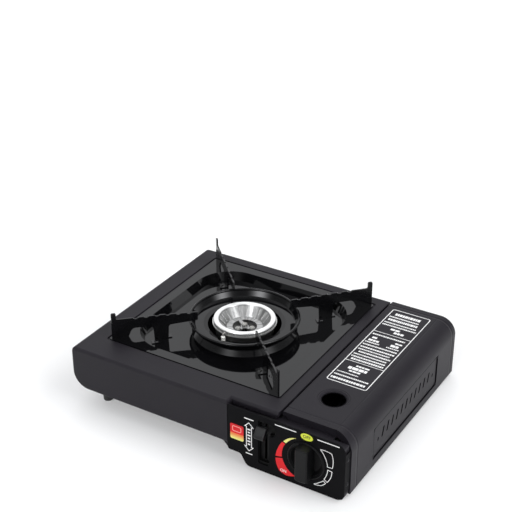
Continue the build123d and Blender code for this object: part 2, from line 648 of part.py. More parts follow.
def lid_catch():
    """Leaf spring on the trough's right wall; its nose holds the closed lid's side."""
    x = BASE_RIGHT_X - SHEET
    y0, y1 = 150.0, 162.0
    line = [(x, 12), (x, 30), (x, 36), (SIDE_X - SHEET - REST_GAP - 0.7, 41), (x - 1.4, 47)]
    path = [line[0], line[2], line[3], line[4]]
    back = [(px - 0.7, pz) for px, pz in reversed(path)]
    return along_y(Polygon(*path, *back, align=None), y0, y1)


# ---------------------------------------------------------------- drip tray
def square(half, radius, z):
    """Rounded square of the tray at a height, for lofts."""
    return Plane(origin=(*TRAY_C, z)) * RectangleRounded(2 * half, 2 * half, radius)


def drip_tray():
    """Enamelled tray: flat rim, drawn dish with round corners, collar round the burner hole."""
    top, floor, t = TRAY_TOP_Z, TRAY_FLOOR_Z, TRAY_T
    dish = TRAY_HALF - TRAY_RIM
    low, low_r = dish - DISH_DRAFT, DISH_R - DISH_DRAFT
    tray = extrude(square(TRAY_HALF, TRAY_CORNER_R, top - t), amount=t)
    tray += loft([square(low + t, low_r + t, floor - t), square(dish + t, DISH_R + t, top - t)])
    tray -= loft([square(low, low_r, floor), square(dish, DISH_R, top + 0.01)])
    tray -= cylinder((*TRAY_C, floor - 3), (0, 0, 1), 6, COLLAR_R + t)
    tray += turned(
        [(COLLAR_R + 2 * t, floor), (COLLAR_R, floor), (COLLAR_LAND_R, COLLAR_Z),
         (TRAY_HOLE_R, COLLAR_Z), (TRAY_HOLE_R, COLLAR_Z - t), (COLLAR_LAND_R - 0.4 * t, COLLAR_Z - t),
         (COLLAR_R - 0.4 * t, floor - t), (COLLAR_R + 2 * t, floor - t)],
        origin=(*TRAY_C, 0),
    )
    for angle in ARM_ANGLES:
        for spot in rivet_places(angle):
            tray -= cylinder((*spot, floor - 3), (0, 0, 1), 6, RIVET_R)
    return tray


def burner_bowl():
    """Enamelled bowl on the tray's collar: flat floor, steep wall, rolled rim, a notch."""
    t, z, roll = BOWL_T, COLLAR_Z, BOWL_ROLL_R
    r, floor_r, wall_top = BOWL_HOLE_R, BOWL_FLOOR_R, BOWL_RIM_R - BOWL_ROLL_R
    rim_z = BOWL_TOP_Z - roll
    points = [
        (r, z - 1.4), (TRAY_HOLE_R - 0.4, z), (floor_r, z), (floor_r + 2.2, z + 1.2),
        (floor_r + 3, z + 3), (wall_top + t / 2, rim_z), (wall_top - t / 2, rim_z),
        (floor_r + 2, z + 3.4), (floor_r + 1, z + 1.9), (floor_r - 0.2, z + t),
        (TRAY_HOLE_R - 0.4, z + t), (r, z - 1.4 + t),
    ]
    bowl = turned(points, origin=(*TRAY_C, 0))
    bowl -= cylinder((*ELECTRODE, z - 5), (0, 0, 1), 10, BOWL_NOTCH_R)
    rim = Plane.XZ * Pos(wall_top, rim_z) * Circle(roll)
    return bowl + Pos(*TRAY_C, 0) * revolve(rim, axis=Axis.Z)


def foot_tabs():
    """Two split feet of an arm: (start, end, side) along the arm."""
    a, b = MID_LEG
    mid = (a + b) / 2
    return ((a - FOOT_REACH, mid - 0.4, -1), (mid + 0.4, b + FOOT_REACH, 1))


def rivet_places(angle):
    """Plan places of the two rivets that hold one arm."""
    turn = math.radians(angle)
    places = []
    for s0, s1, side in foot_tabs():
        s, t = (s0 + s1) / 2, side * (ARM_T / 2 + FOOT_W * 0.55)
        x = TRAY_C[0] + s * math.cos(turn) - t * math.sin(turn)
        y = TRAY_C[1] + s * math.sin(turn) + t * math.cos(turn)
        places.append((x, y))
    return places


def pot_arm(angle):
    """Toothed sheet arm in the tray's diagonal: lug, teeth, two legs, arch, split feet."""
    deck, rim, floor = DECK_Z, TRAY_TOP_Z, TRAY_FLOOR_Z
    a, b = MID_LEG
    under = deck + ARM_UNDER
    points = [
        (ARM_OUT, rim), (ARM_OUT, deck + LUG_TOP), (ARM_OUT - LUG_W, deck + LUG_TOP),
        (ARM_OUT - LUG_W, deck + ARM_TOP_OUT), (100, deck + ARM_TOP_OUT - 0.5),
        (ARM_IN, deck + ARM_TOP_IN), (ARM_IN, under + 0.6), (a - 1, under - 1), (a, floor),
        (b, floor), (b + 1, under), (OUTER_LEG - 4, under + 0.6), (OUTER_LEG + 0.5, rim),
    ]
    outline = rounded(points, [0, 1.6, 1.6, 1.8, 0, 1.6, 1.6, 3, 0, 0, 5, 6, 0])
    slope = (ARM_TOP_OUT - 0.5 - ARM_TOP_IN) / (100 - ARM_IN)
    for i in range(TEETH):
        s = TOOTH_FIRST - i * TOOTH_PITCH
        top = deck + ARM_TOP_OUT - max(0, (100 - s)) * slope
        notch = Pos(s, top) * Rot(0, 0, -8) * Ellipse(TOOTH_NOTCH_R * 1.5, TOOTH_NOTCH_R)
        outline -= notch
    plate = along_y(outline, -ARM_T / 2, ARM_T / 2)
    for s0, s1, side in foot_tabs():
        t0, t1 = sorted((side * ARM_T / 2 * 0.99, side * (ARM_T / 2 + FOOT_W)))
        plate += block(s0, s1, t0, t1, floor, floor + FOOT_T)
        hole = ((s0 + s1) / 2, side * (ARM_T / 2 + FOOT_W * 0.55), floor - 1)
        plate -= cylinder(hole, (0, 0, 1), 4, RIVET_R)
    return Pos(*TRAY_C, 0) * (Rot(0, 0, angle) * plate)


def arm_rivets():
    """Rivets through the arms' feet and the tray floor."""
    rivets = []
    shank = RIVET_R - 0.05
    top, under = TRAY_FLOOR_Z + FOOT_T, TRAY_FLOOR_Z - TRAY_T
    points = [(0, under - 0.8), (2.4, under - 0.8), (2.7, under), (shank, under),
              (shank, top), (2.7, top), (1.8, top + 1.1), (0, top + 1.3)]
    for angle in ARM_ANGLES:
        for spot in rivet_places(angle):
            rivets.append(turned(points, origin=(*spot, 0)))
    return group(rivets)


# ---------------------------------------------------------------- burner
def burner_point(distance, z):
    """Point on the line from the burner's centre to the jet."""
    step = distance / math.sqrt(2)
    return (TRAY_C[0] + step, TRAY_C[1] - step, z)


def burner_head():
    """Turned ring: port slots in the outer wall, fluted throat, pierced floor with bosses."""
    t, top, seat, floor = HEAD_SHEET, HEAD_TOP_Z, HEAD_SEAT_Z, HEAD_FLOOR_Z
    inner = HEAD_R - HEAD_WALL
    points = [
        (HEAD_R, seat), (HEAD_R, top - 0.6), (HEAD_R - 0.6, top), (HEAD_THROAT_R + 0.5, top),
        (HEAD_THROAT_R - 0.3, top - 0.9), (HEAD_FLOOR_R, floor), (0, floor), (0, floor - t),
        (HEAD_FLOOR_R - 0.6, floor - t), (HEAD_THROAT_R, top - 2.2), (inner, top - 2.2),
        (inner, seat),
    ]
    head = turned(points)
    port = block(inner - 1, HEAD_R + 1, -PORT_W / 2, PORT_W / 2, seat - 1, seat + PORT_H)
    for i in range(PORTS):
        head -= Rot(0, 0, i * 360 / PORTS) * port
    wall = Vector(HEAD_THROAT_R - HEAD_FLOOR_R, 0, top - floor)
    start = (HEAD_FLOOR_R + 0.8, 0, floor + 1.2)
    flute = cylinder(start, tuple(wall.normalized()), wall.length - 3.4, FLUTE_R)
    for i in range(FLUTES):
        head -= Rot(0, 0, (i + 0.5) * 360 / FLUTES) * flute
    opening = Circle(OPENING_R) - Circle(HUB_R)
    for angle in SPOKES:
        opening -= Rot(0, 0, angle) * Pos(OPENING_R / 2 + 1, 0) * Rectangle(OPENING_R + 2, SPOKE_W)
    for x, y, _ in screw_places():
        opening -= Pos(x, y) * Circle(BOSS_R)
    head -= along_z(opening, floor - t - 1, floor + 1)
    for x, y, _ in screw_places():
        head += cylinder((x, y, floor - t), (0, 0, 1), t + BOSS_H, BOSS_R)
        head -= cylinder((x, y, floor - t - 1), (0, 0, 1), t + BOSS_H + 2, SCREW_R + RUN_FIT)
    return Pos(*TRAY_C, 0) * head


def screw_places():
    """Head screws about the burner's axis: (x, y, head radius)."""
    places = [(0, 0, 3.1)]
    for angle in SPOKES[1:]:
        turn = math.radians(angle)
        places.append((SCREW_AT * math.cos(turn), SCREW_AT * math.sin(turn), 2.8))
    return places


def burner_body():
    """Cast body under the head: flange, hollow cone, posts, inlet boss, electrode pad."""
    c, low, seat = CASTING_T, BODY_FLOOR_Z, HEAD_SEAT_Z
    rim, inner_r = BODY_FLANGE_R, HEAD_R - HEAD_WALL - 0.4
    outer = [(0, low), (17, low), (24, 44), (33, 60), (rim - 1.8, seat - 3.9), (rim, seat - 2.5),
             (rim, seat), (0, seat)]
    inner = [(0, low + c), (17 - c * 0.6, low + c), (24 - c, 44 + 0.7 * c), (33 - c, 60 + 0.5 * c),
             (inner_r, seat - 2), (inner_r, seat + 1), (0, seat + 1)]
    body = turned(outer)
    boss = cylinder((0, 0, TUBE_Z), JET_LINE, 42, TUBE_R + 1.9)
    pad = Rot(0, 0, ELECTRODE_TURN) * block(20, ELECTRODE_PAD, -5, 5, BRACKET_Z - 7, BRACKET_Z + 5)
    body += boss
    body += pad
    body -= turned(inner)
    body -= cylinder((0, 0, TUBE_Z), JET_LINE, 60, TUBE_R + RUN_FIT)
    post_top = HEAD_FLOOR_Z - HEAD_SHEET
    for x, y, _ in screw_places():
        body += cylinder((x, y, low), (0, 0, 1), post_top - low, BOSS_R)
        body -= cylinder((x, y, SCREW_END_Z - 2), (0, 0, 1), post_top, SCREW_R)
    return Pos(*TRAY_C, 0) * body


def burner_screws():
    """Screws in the head's floor, with cross recesses."""
    screws = []
    seat = HEAD_FLOOR_Z + BOSS_H
    shank = SCREW_R - RUN_FIT
    for x, y, r in screw_places():
        points = [(0, SCREW_END_Z), (shank, SCREW_END_Z), (shank, seat), (r, seat),
                  (r, seat + 0.8), (r * 0.6, seat + 1.7), (0, seat + 1.8)]
        screw = turned(points)
        for turn in (0, 90):
            screw -= Rot(0, 0, turn) * block(-1.5, 1.5, -0.3, 0.3, seat + 0.9, seat + 3)
        screws.append(Pos(TRAY_C[0] + x, TRAY_C[1] + y, 0) * screw)
    return group(screws)


def burner_bracket():
    """Strap from the base plate that carries the burner body."""
    floor, seat, t = BASE_PLATE_Z + SHEET, BODY_FLOOR_Z, BRACKET_T
    half, reach = 18, 30
    profile = [(-reach, floor), (-half, floor), (-half, seat - t), (half, seat - t), (half, floor),
               (reach, floor), (reach, floor + t), (half + t, floor + t), (half + t, seat),
               (-half - t, seat), (-half - t, floor + t), (-reach, floor + t)]
    strap = along_y(Polygon(*profile, align=None), -11, 11)
    return Pos(*TRAY_C, 0) * (Rot(0, 0, 45) * strap)


def mixing_tube():
    """Air and gas tube from the jet holder to the burner, with a bell mouth."""
    outer = [(24, TUBE_R), (104, TUBE_R), (112, BELL_R - 0.1), (116, BELL_R)]
    inner = [(along, radius - TUBE_T) for along, radius in reversed(outer)]
    points = [(radius, along) for along, radius in outer + inner]
    return turned(points, origin=(*TRAY_C, TUBE_Z), direction=JET_LINE)


def jet_holder():
    """Cup over the tube's mouth that carries the jet, with two air windows."""
    outer, inner = BELL_R + 1.0, BELL_R + RUN_FIT
    start, end = 110, JET_FROM_CENTRE - 6
    points = [(inner, start), (outer, start), (outer, end), (PIPE_R + RUN_FIT, end),
              (PIPE_R + RUN_FIT, end - 2.5), (inner, end - 2.5)]
    cup = turned(points)
    cup -= block(-20, 20, -5, 5, start + 7.5, end - 4)
    return Plane(origin=(*TRAY_C, TUBE_Z), z_dir=JET_LINE) * cup


def gas_jet():
    """Brass jet: hexagon, thread and drilled nose."""
    end = JET_FROM_CENTRE
    hexagon = along_z(RegularPolygon(5.2, 6), end - 6, end)
    nose = turned([(0.5, end - 14), (1.4, end - 14), (3, end - 10), (3, end - 6), (0.5, end - 6)])
    jet = hexagon + nose
    jet -= cylinder((0, 0, end - 20), (0, 0, 1), 30, 0.5)
    jet -= cylinder((0, 0, end - 3), (0, 0, 1), 4, PIPE_R + RUN_FIT / 2)
    return Plane(origin=(*TRAY_C, TUBE_Z), z_dir=JET_LINE) * jet


def gas_pipe():
    """Bent pipe from the regulator, under the lever, up to the jet."""
    start = Vector(*burner_point(JET_FROM_CENTRE - 3, TUBE_Z))
    knee = Vector(*burner_point(JET_FROM_CENTRE + 8, TUBE_Z))
    low = Vector(knee.X, knee.Y, PIPE_Z)
    near = Vector(AXIS_X - 38, PIPE_Y, PIPE_Z)
    end = Vector(AXIS_X - 25, PIPE_Y, PIPE_Z)
    path = FilletPolyline(start, knee, low, near, end, radius=[6.5, 6.5, 8])
    section = Plane(origin=path @ 0, z_dir=path % 0)
    return sweep(section * Circle(PIPE_R), path=path) - sweep(section * Circle(PIPE_R - 0.7), path=path)


# ---------------------------------------------------------------- ignition
def piezo_igniter():
    """Plastic case of the spark unit, with its foot on the partition."""
    (x0, x1), (y0, y1), (z0, z1) = PIEZO_X, PIEZO_Y, PIEZO_Z
    y, z = (y0 + y1) / 2, (z0 + z1) / 2
    case = fillet(block(x0, x1, y0, y1, z0, z1).edges().filter_by(Axis.X), 2)
    neck = cylinder((x1, y, z), (1, 0, 0), 2, 4.5)
    foot_plate = block(PART_X + SHEET, x0 + 3, y1 - 2, y1, z0 + 0.5, z1 - 4)
    return fused([case, neck, foot_plate]) - cylinder((x1 - 7, y, z), (1, 0, 0), 12, PLUNGER_R)


def igniter_plunger():
    """Plunger of the spark unit with the toe that the cam trips."""
    y, z = sum(PIEZO_Y) / 2, sum(PIEZO_Z) / 2
    x1 = PIEZO_X[1]
    rod_part = cylinder((x1 - 1.5, y, z), (1, 0, 0), 7.5, PLUNGER_R - RUN_FIT)
    toe = block(x1 + 5.4, PLUNGER_TIP_X, *PLUNGER_Y, z - 1.5, z + 1.5)
    return rod_part + toe


def igniter_wire():
    """Insulated lead from the spark unit to the electrode."""
    path = FilletPolyline(*WIRE_POINTS, radius=WIRE_RADII)
    section = Plane(origin=path @ 0, z_dir=path % 0)
    return sweep(section * Circle(WIRE_R), path=path)


def electrode_insulator():
    """White ceramic sleeve with a collar under its bracket."""
    r, low, seat, top = INSULATOR_R, BRACKET_Z - 7, BRACKET_Z - 0.1, DECK_Z + 1.8
    bore = ELECTRODE_R + RUN_FIT
    points = [(bore, low), (r - 0.1, low), (r - 0.1, seat - 1.9), (r + 0.9, seat - 1.9),
              (r + 0.9, seat), (r, seat), (r, top - 1.0), (r - 0.7, top), (bore, top)]
    return turned(points, origin=(*ELECTRODE, 0))


def electrode():
    """Spark rod, bent over towards the ports."""
    x, y = ELECTRODE
    away = Vector(TRAY_C[0] - x, TRAY_C[1] - y, 0).normalized()
    low, knee = Vector(x, y, WIRE_POINTS[-1][2]), Vector(x, y, HEAD_TOP_Z - 0.1)
    tip = knee + away * 4.6 + Vector(0, 0, -0.4)
    path = FilletPolyline(low, knee, tip, radius=1.6)
    return sweep(Plane(origin=path @ 0, z_dir=path % 0) * Circle(ELECTRODE_R), path=path)


def electrode_bracket():
    """Angle on the burner body that holds the insulator."""
    angle, reach = ELECTRODE_TURN, ELECTRODE_FAR
    t = 1.0
    x0, z = ELECTRODE_PAD, BRACKET_Z
    arm = block(x0, reach + 5.5, -5, 5, z, z + t) + block(x0, x0 + t, -5, 5, z - 7, z + t)
    arm -= cylinder((reach, 0, z - 7), (0, 0, 1), 12, INSULATOR_R + RUN_FIT)
    return Pos(*TRAY_C, 0) * (Rot(0, 0, angle) * arm)


# ---------------------------------------------------------------- regulator
def on_axis(points):
    """Solid turned about the cartridge axis from (radius, y) points."""
    return turned(points, origin=(AXIS_X, 0, AXIS_Z), direction=(0, 1, 0))


def regulator_screw_places():
    """Four screws round the regulator's flange, (x, z)."""
    places = []
    for i in range(4):
        turn = math.radians(10 + 90 * i)
        places.append((AXIS_X + REG_SCREW_R * math.cos(turn), AXIS_Z + REG_SCREW_R * math.sin(turn)))
    return places


def regulator_body():
    """Die-cast front half: spindle boss, chamber, flange, outlet boss."""
    y0, y1 = REG_CHAMBER_Y, REG_JOINT_Y
    bore = SPINDLE_R + RUN_FIT
    solid = on_axis([(bore, REG_FRONT_Y), (7.5, REG_FRONT_Y), (7.5, y0 - 1.5), (9, y0),
                     (REG_R - 2, y0), (REG_R, y0 + 2), (REG_R, y1 - 3), (REG_FLANGE_R, y1 - 3),
                     (REG_FLANGE_R, y1), (REG_R - 3, y1), (REG_R - 3, y0 + 3.5), (bore, y0 + 3.5)])
    outlet = cylinder((AXIS_X - 12, PIPE_Y, PIPE_Z), (-1, 0, 0), 17, 5)
    solid += outlet - on_axis([(0, y0), (REG_R - 3, y0), (REG_R - 3, y1 + 5), (0, y1 + 5)])
    solid -= cylinder((AXIS_X - 23, PIPE_Y, PIPE_Z), (-1, 0, 0), 12, PIPE_R + RUN_FIT / 2)
    for x, z in regulator_screw_places():
        solid -= cylinder((x, y1 - 5, z), (0, 1, 0), 8, 1.6)
    return solid


def regulator_diaphragm():
    """Rubber disc clamped between the two halves."""
    y = REG_JOINT_Y
    disc = on_axis([(0, y - 1.5), (8, y - 1.5), (9, y), (REG_FLANGE_R - 0.5, y),
                    (REG_FLANGE_R - 0.5, y + 1), (0, y + 1)])
    for x, z in regulator_screw_places():
        disc -= cylinder((x, y - 1, z), (0, 1, 0), 4, 1.7)
    return disc


def regulator_cap():
    """Rear half with the cartridge socket and its centre pin."""
    y = REG_JOINT_Y + 1
    s = SOCKET_END_Y
    solid = on_axis([(REG_R - 3, y), (REG_FLANGE_R, y), (REG_FLANGE_R, y + 2.5), (25, y + 2.5),
                     (15, s - 10), (SOCKET_R, s - 9), (SOCKET_R, s - 0.6), (SOCKET_R - 0.6, s),
                     (SOCKET_BORE_R + 0.5, s), (SOCKET_BORE_R, s - 0.5),
                     (SOCKET_BORE_R, s - SOCKET_BORE_L), (SEAL_R, s - SOCKET_BORE_L),
                     (SEAL_R, s - 9), (1.2, s - 9), (1.2, s - SOCKET_BORE_L - 0.6),
                     (0, s - SOCKET_BORE_L - 0.2), (0, s - 11), (11, s - 11),
                     (20, y + 2.5)])
    for x, z in regulator_screw_places():
        solid -= cylinder((x, y - 1, z), (0, 1, 0), 6, 1.6)
    return solid


def regulator_screws():
    """Flange screws, heads on the front side."""
    y = REG_JOINT_Y - 3
    screws = []
    for x, z in regulator_screw_places():
        points = [(0, y - 2), (2.4, y - 1.9), (2.6, y), (1.55, y), (1.55, y + 7), (0, y + 7)]
        screws.append(turned(points, origin=(x, 0, z), direction=(0, 1, 0)))
    return group(screws)


def regulator_spring():
    """Coil spring behind the diaphragm."""
    start, end = REG_CHAMBER_Y + 4.3, REG_JOINT_Y - 2.2
    helix = Helix(pitch=2.9, height=end - start, radius=11)
    coil = sweep(Plane(origin=helix @ 0, z_dir=helix % 0) * Circle(0.6), path=helix)
    return Plane(origin=(AXIS_X, start, AXIS_Z), z_dir=(0, 1, 0)) * coil


def cartridge_seal():
    """Rubber ring at the bottom of the socket."""
    s = SOCKET_END_Y
    return on_axis([(3, s - 9), (SEAL_R - 0.1, s - 9), (SEAL_R - 0.1, s - 7),
                    (4.5, s - SOCKET_BORE_L - 0.4), (3, s - 7)])


def cartridge_guide():
    """Plate round the socket that steadies the cartridge's collar, with its tab."""
    floor = BAY_FLOOR_Z + SHEET
    t = 1.2
    height = 66 - floor
    plate = Pos(AXIS_X, floor + height / 2) * RectangleRounded(66, height, 10)
    plate -= Pos(AXIS_X, AXIS_Z) * Circle(SOCKET_R + RUN_FIT)
    guide = along_y(plate, GUIDE_Y, GUIDE_Y + t)
    guide += block(AXIS_X - 22, AXIS_X + 22, GUIDE_Y - 12, GUIDE_Y + t, floor, floor + t)
    tab = block(AXIS_X - 2.5, AXIS_X + 2.5, GUIDE_Y, GUIDE_Y + 7, AXIS_Z + 17, AXIS_Z + 18.2)
    return guide + tab


# ---------------------------------------------------------------- lever and slide
def at_rest(piece):
    """Turn a lever piece from its mid swing to its released place."""
    pivot = Axis((0, *LEVER_PIVOT), (1, 0, 0))
    return piece.rotate(pivot, -LEVER_SWING / 2)


def lock_lever():
    """Bell-crank blade: long arm to the cap, short arm to the drive pin."""
    py, pz = LEVER_PIVOT
    arm = [(-5, pz - 5), (py - 10, pz - 5), (py - 10, pz + 5), (-5, pz + 5)]
    blade = rounded(arm, [2.5, 0, 0, 2.5])
    blade += Pos(py, pz) * Circle(8)
    blade += Pos(py - 6, pz) * Rectangle(10, 11)
    blade += Pos(py, pz + DRIVE_ARM / 2) * Rectangle(8, DRIVE_ARM)
    blade += Pos(py, pz + DRIVE_ARM) * Circle(4)
    blade -= Pos(py, pz) * Circle(LEVER_PIN_R + RUN_FIT)
    blade -= Pos(py, pz + DRIVE_ARM) * Circle(DRIVE_PIN_R)
    return at_rest(along_x(blade, LEVER_X, LEVER_X + LEVER_T))


def lever_cap():
    """Plastic thumb piece on the blade, ribbed on its face."""
    pz = LEVER_PIVOT[1]
    mid = LEVER_X + LEVER_T / 2
    side = rounded([(-4, pz - 6.5), (-4, pz + 6.5), (-8.5, pz + 6.5), (-11.5, pz - 2.5),
                    (-11.5, pz - 6.5)], [1, 1.5, 2, 1.5, 2])
    cap = along_x(side, mid - 5.7, mid + 5.7)
    cap = fillet(cap.edges().filter_by(Axis.X, reverse=True).filter_by(
        lambda edge: abs(abs(edge.center().X - mid) - 5.7) < 0.01), 0.9)
    for i in range(3):
        rib = Pos(mid, -11.6, pz - 4.6 + 2.2 * i) * Box(8, 0.9, 0.8)
        cap -= rib
    cap -= block(LEVER_X, LEVER_X + LEVER_T, -5.0, -3, pz - 5, pz + 5)
    return at_rest(cap)


def lever_drive_pin():
    """Pin on the short arm that moves the slide, through the partition's window."""
    y, z = LEVER_PIVOT[0], LEVER_PIVOT[1] + DRIVE_ARM
    pin = cylinder((LEVER_X, y, z), (1, 0, 0), SLIDE_X + SLIDE_T + 1 - LEVER_X, DRIVE_PIN_R)
    pin += cylinder((LEVER_X + LEVER_T, y, z), (1, 0, 0), 1.2, 2.6)
    return at_rest(pin)


def lever_pivot():
    """Shouldered pin on the partition that carries the lever."""
    y, z = LEVER_PIVOT
    r = LEVER_PIN_R
    points = [(0, 0), (3.6, 0), (3.6, 1.2), (r, 1.2), (r, 1.2 + LEVER_T + 0.6),
              (3.4, 1.2 + LEVER_T + 0.6), (3.4, PART_X - LEVER_X + 1.5), (0, PART_X - LEVER_X + 1.5)]
    return turned(points, origin=(LEVER_X - 1.5, y, z), direction=(1, 0, 0))


def lever_spring():
    """Torsion spring round the pivot's shoulder, its foot on the partition."""
    y, z = LEVER_PIVOT
    x0 = LEVER_X + LEVER_T + 1.2
    helix = Helix(pitch=1.25, height=3.75, radius=4.2)
    coil = sweep(Plane(origin=helix @ 0, z_dir=helix % 0) * Circle(0.5), path=helix)
    coil = Plane(origin=(x0, y, z), x_dir=(0, 0, 1), z_dir=(1, 0, 0)) * coil
    return coil


def cartridge_slide():
    """Side strip with guide and drive slots, and the pusher plate behind the cartridge."""
    (y0, y1), (z0, z1) = SLIDE_Y, SLIDE_Z
    x0, t = SLIDE_X, SLIDE_T
    travel = 2 * DRIVE_ARM * math.sin(math.radians(LEVER_SWING / 2))
    strip = along_x(rounded([(y0, z0), (y1, z0), (y1, z1), (y0, z1)], [3, 0, 0, 3]), x0, x0 + t)
    plate = Pos(AXIS_X - 2, AXIS_Z + 1) * RectangleRounded(56, 50, 16)
    plate += Pos((x0 + AXIS_X) / 2, sum(SLIDE_Z) / 2) * Rectangle(AXIS_X - x0, z1 - z0)
    strip += along_y(plate, y1, y1 + t)
    r = LEVER_PIN_R + 0.3
    for y in GUIDE_RIVETS_Y:
        slot = Pos(y + travel / 2, GUIDE_RIVET_Z) * SlotOverall(travel + 2 * r, 2 * r)
        strip -= along_x(slot, x0 - 1, x0 + t + 1)
    swing = math.radians(LEVER_SWING / 2)
    pin_y = LEVER_PIVOT[0] + DRIVE_ARM * math.sin(swing)
    pin_top = LEVER_PIVOT[1] + DRIVE_ARM
    pin_low = LEVER_PIVOT[1] + DRIVE_ARM * math.cos(swing)
    gap = DRIVE_PIN_R + 0.25
    drive = (x0 - 1, x0 + t + 1, pin_y - gap, pin_y + gap, pin_low - gap, pin_top + gap)
    return strip - block(*drive)


def slide_rivets():
    """Shouldered rivets on the partition that guide the slide."""
    x0 = PART_X + SHEET
    run = SLIDE_X - x0
    r = LEVER_PIN_R
    rivets = []
    for y in GUIDE_RIVETS_Y:
        points = [(0, 0), (3.6, 0), (3.6, run - 0.3), (r, run - 0.3), (r, run + SLIDE_T + 0.3),
                  (3.6, run + SLIDE_T + 0.3), (3.0, run + SLIDE_T + 1.4), (0, run + SLIDE_T + 1.5)]
        rivets.append(turned(points, origin=(x0, y, GUIDE_RIVET_Z), direction=(1, 0, 0)))
    return group(rivets)


def pusher_spring():
    """Bowed leaf on the pusher plate that presses the cartridge forward."""
    y = SLIDE_Y[1]
    bow = 4.5
    outer = ThreePointArc((-20, 0), (0, -bow), (20, 0))
    inner = ThreePointArc((20, -0.6), (0, -bow - 0.6), (-20, -0.6))
    edge = [outer, Line((20, 0), (20, -0.6)), inner, Line((-20, -0.6), (-20, 0))]
    leaf = Pos(AXIS_X - 2, y) * make_face(Wire(edge))
    return along_z(leaf, AXIS_Z - 6, AXIS_Z + 6)


# ---------------------------------------------------------------- fasteners
def flange_screw_holes(radius):
    """Cutters for the two screws through the panel's side flange."""
    start = BASE_RIGHT_X - FLANGE_SCREW_L
    return group([cylinder((start, FLANGE_SCREW_Y, z), (1, 0, 0), FLANGE_SCREW_L + 2, radius)
                  for z in FLANGE_SCREWS_Z])


def panel_screws():
    """Lens-head screws through the panel's side flange into pan and bridge."""
    r, head = FLANGE_SCREW_R, FLANGE_SCREW_R + 1
    points = [(0, -FLANGE_SCREW_L), (r - 0.5, -FLANGE_SCREW_L), (r, 1 - FLANGE_SCREW_L), (r, 0),
              (head, 0), (r, 0.8), (0, 0.85)]
    seat = BASE_RIGHT_X + PANEL_T
    return group([turned(points, origin=(seat, FLANGE_SCREW_Y, z), direction=(1, 0, 0))
                  for z in FLANGE_SCREWS_Z])


def pieces():
    """Every node of the stove by name."""
    named = {
        "body_cover": body_cover(),
        "base_pan": base_pan(),
        "control_panel": control_panel(),
        "panel_screws": panel_screws(),
        "front_bridge": front_bridge(),
        "partition": partition(),
        "lever_guide": lever_guide(),
        "knob": knob(),
        "valve_spindle": valve_spindle(),
        "igniter_cam": igniter_cam(),
        "cartridge_lid": lid(),
        "lid_catch": lid_catch(),
        "lid_hinge_pins": hinge_pins(),
        "drip_tray": drip_tray(),
        "burner_bowl": burner_bowl(),
        "arm_rivets": arm_rivets(),
        "burner_head": burner_head(),
        "burner_body": burner_body(),
        "burner_screws": burner_screws(),
        "burner_bracket": burner_bracket(),
        "mixing_tube": mixing_tube(),
        "jet_holder": jet_holder(),
        "gas_jet": gas_jet(),
        "gas_pipe": gas_pipe(),
        "regulator_body": regulator_body(),
        "regulator_diaphragm": regulator_diaphragm(),
        "regulator_cap": regulator_cap(),
        "regulator_screws": regulator_screws(),
        "regulator_spring": regulator_spring(),
        "cartridge_seal": cartridge_seal(),
        "cartridge_guide": cartridge_guide(),
        "piezo_igniter": piezo_igniter(),
        "igniter_plunger": igniter_plunger(),
        "igniter_wire": igniter_wire(),
        "electrode": electrode(),
        "electrode_insulator": electrode_insulator(),
        "electrode_bracket": electrode_bracket(),
        "lock_lever": lock_lever(),
        "lever_cap": lever_cap(),
        "lever_drive_pin": lever_drive_pin(),
        "lever_pivot": lever_pivot(),
        "lever_spring": lever_spring(),
        "cartridge_slide": cartridge_slide(),
        "slide_rivets": slide_rivets(),
        "pusher_spring": pusher_spring(),
    }
    for name, start in zip(("front", "rear"), HINGE_STARTS):
        named[f"lid_hinge_{name}"] = hinge_bracket(start)
    for name, angle in zip(ARM_NAMES, ARM_ANGLES):
        named[f"pot_arm_{name}"] = pot_arm(angle)
    for name, y in zip(("front", "rear"), FEET_Y):
        named[f"foot_left_{name}"] = foot(LEFT_FEET_X, y, BASE_PLATE_Z, *LEFT_FOOT_R)
        named[f"foot_right_{name}"] = foot(RIGHT_FEET_X, y, BAY_FLOOR_Z, *RIGHT_FOOT_R)
    return named


os.makedirs("parts", exist_ok=True)
for node, shape in pieces().items():
    export_step(Pos(0, -Y_ORIGIN, 0) * shape, f"parts/{node}.step")
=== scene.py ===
import math

import bpy
import numpy as np
from bpy.props import FloatProperty, FloatVectorProperty, PointerProperty
from mathutils import Matrix, Vector


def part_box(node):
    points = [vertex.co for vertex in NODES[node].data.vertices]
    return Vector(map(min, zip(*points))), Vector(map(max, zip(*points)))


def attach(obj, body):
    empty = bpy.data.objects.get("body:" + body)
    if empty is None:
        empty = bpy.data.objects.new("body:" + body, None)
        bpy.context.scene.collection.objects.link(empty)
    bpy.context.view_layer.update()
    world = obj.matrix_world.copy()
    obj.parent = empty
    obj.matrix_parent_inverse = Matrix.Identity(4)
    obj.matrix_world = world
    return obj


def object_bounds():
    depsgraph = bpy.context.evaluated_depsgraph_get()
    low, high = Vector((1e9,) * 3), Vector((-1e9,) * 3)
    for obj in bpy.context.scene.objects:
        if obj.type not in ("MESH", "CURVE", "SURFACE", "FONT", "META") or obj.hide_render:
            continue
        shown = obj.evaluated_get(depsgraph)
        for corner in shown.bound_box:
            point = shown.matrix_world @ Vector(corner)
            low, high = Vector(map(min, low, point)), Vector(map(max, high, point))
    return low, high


bl_info = {
    "name": "Cassette stove finish",
    "version": (1, 0, 0),
    "blender": (4, 5, 0),
    "location": "View3D > Sidebar > Stove",
    "description": "Materials, printed marks and stage for the packed cassette stove",
    "category": "Object",
}

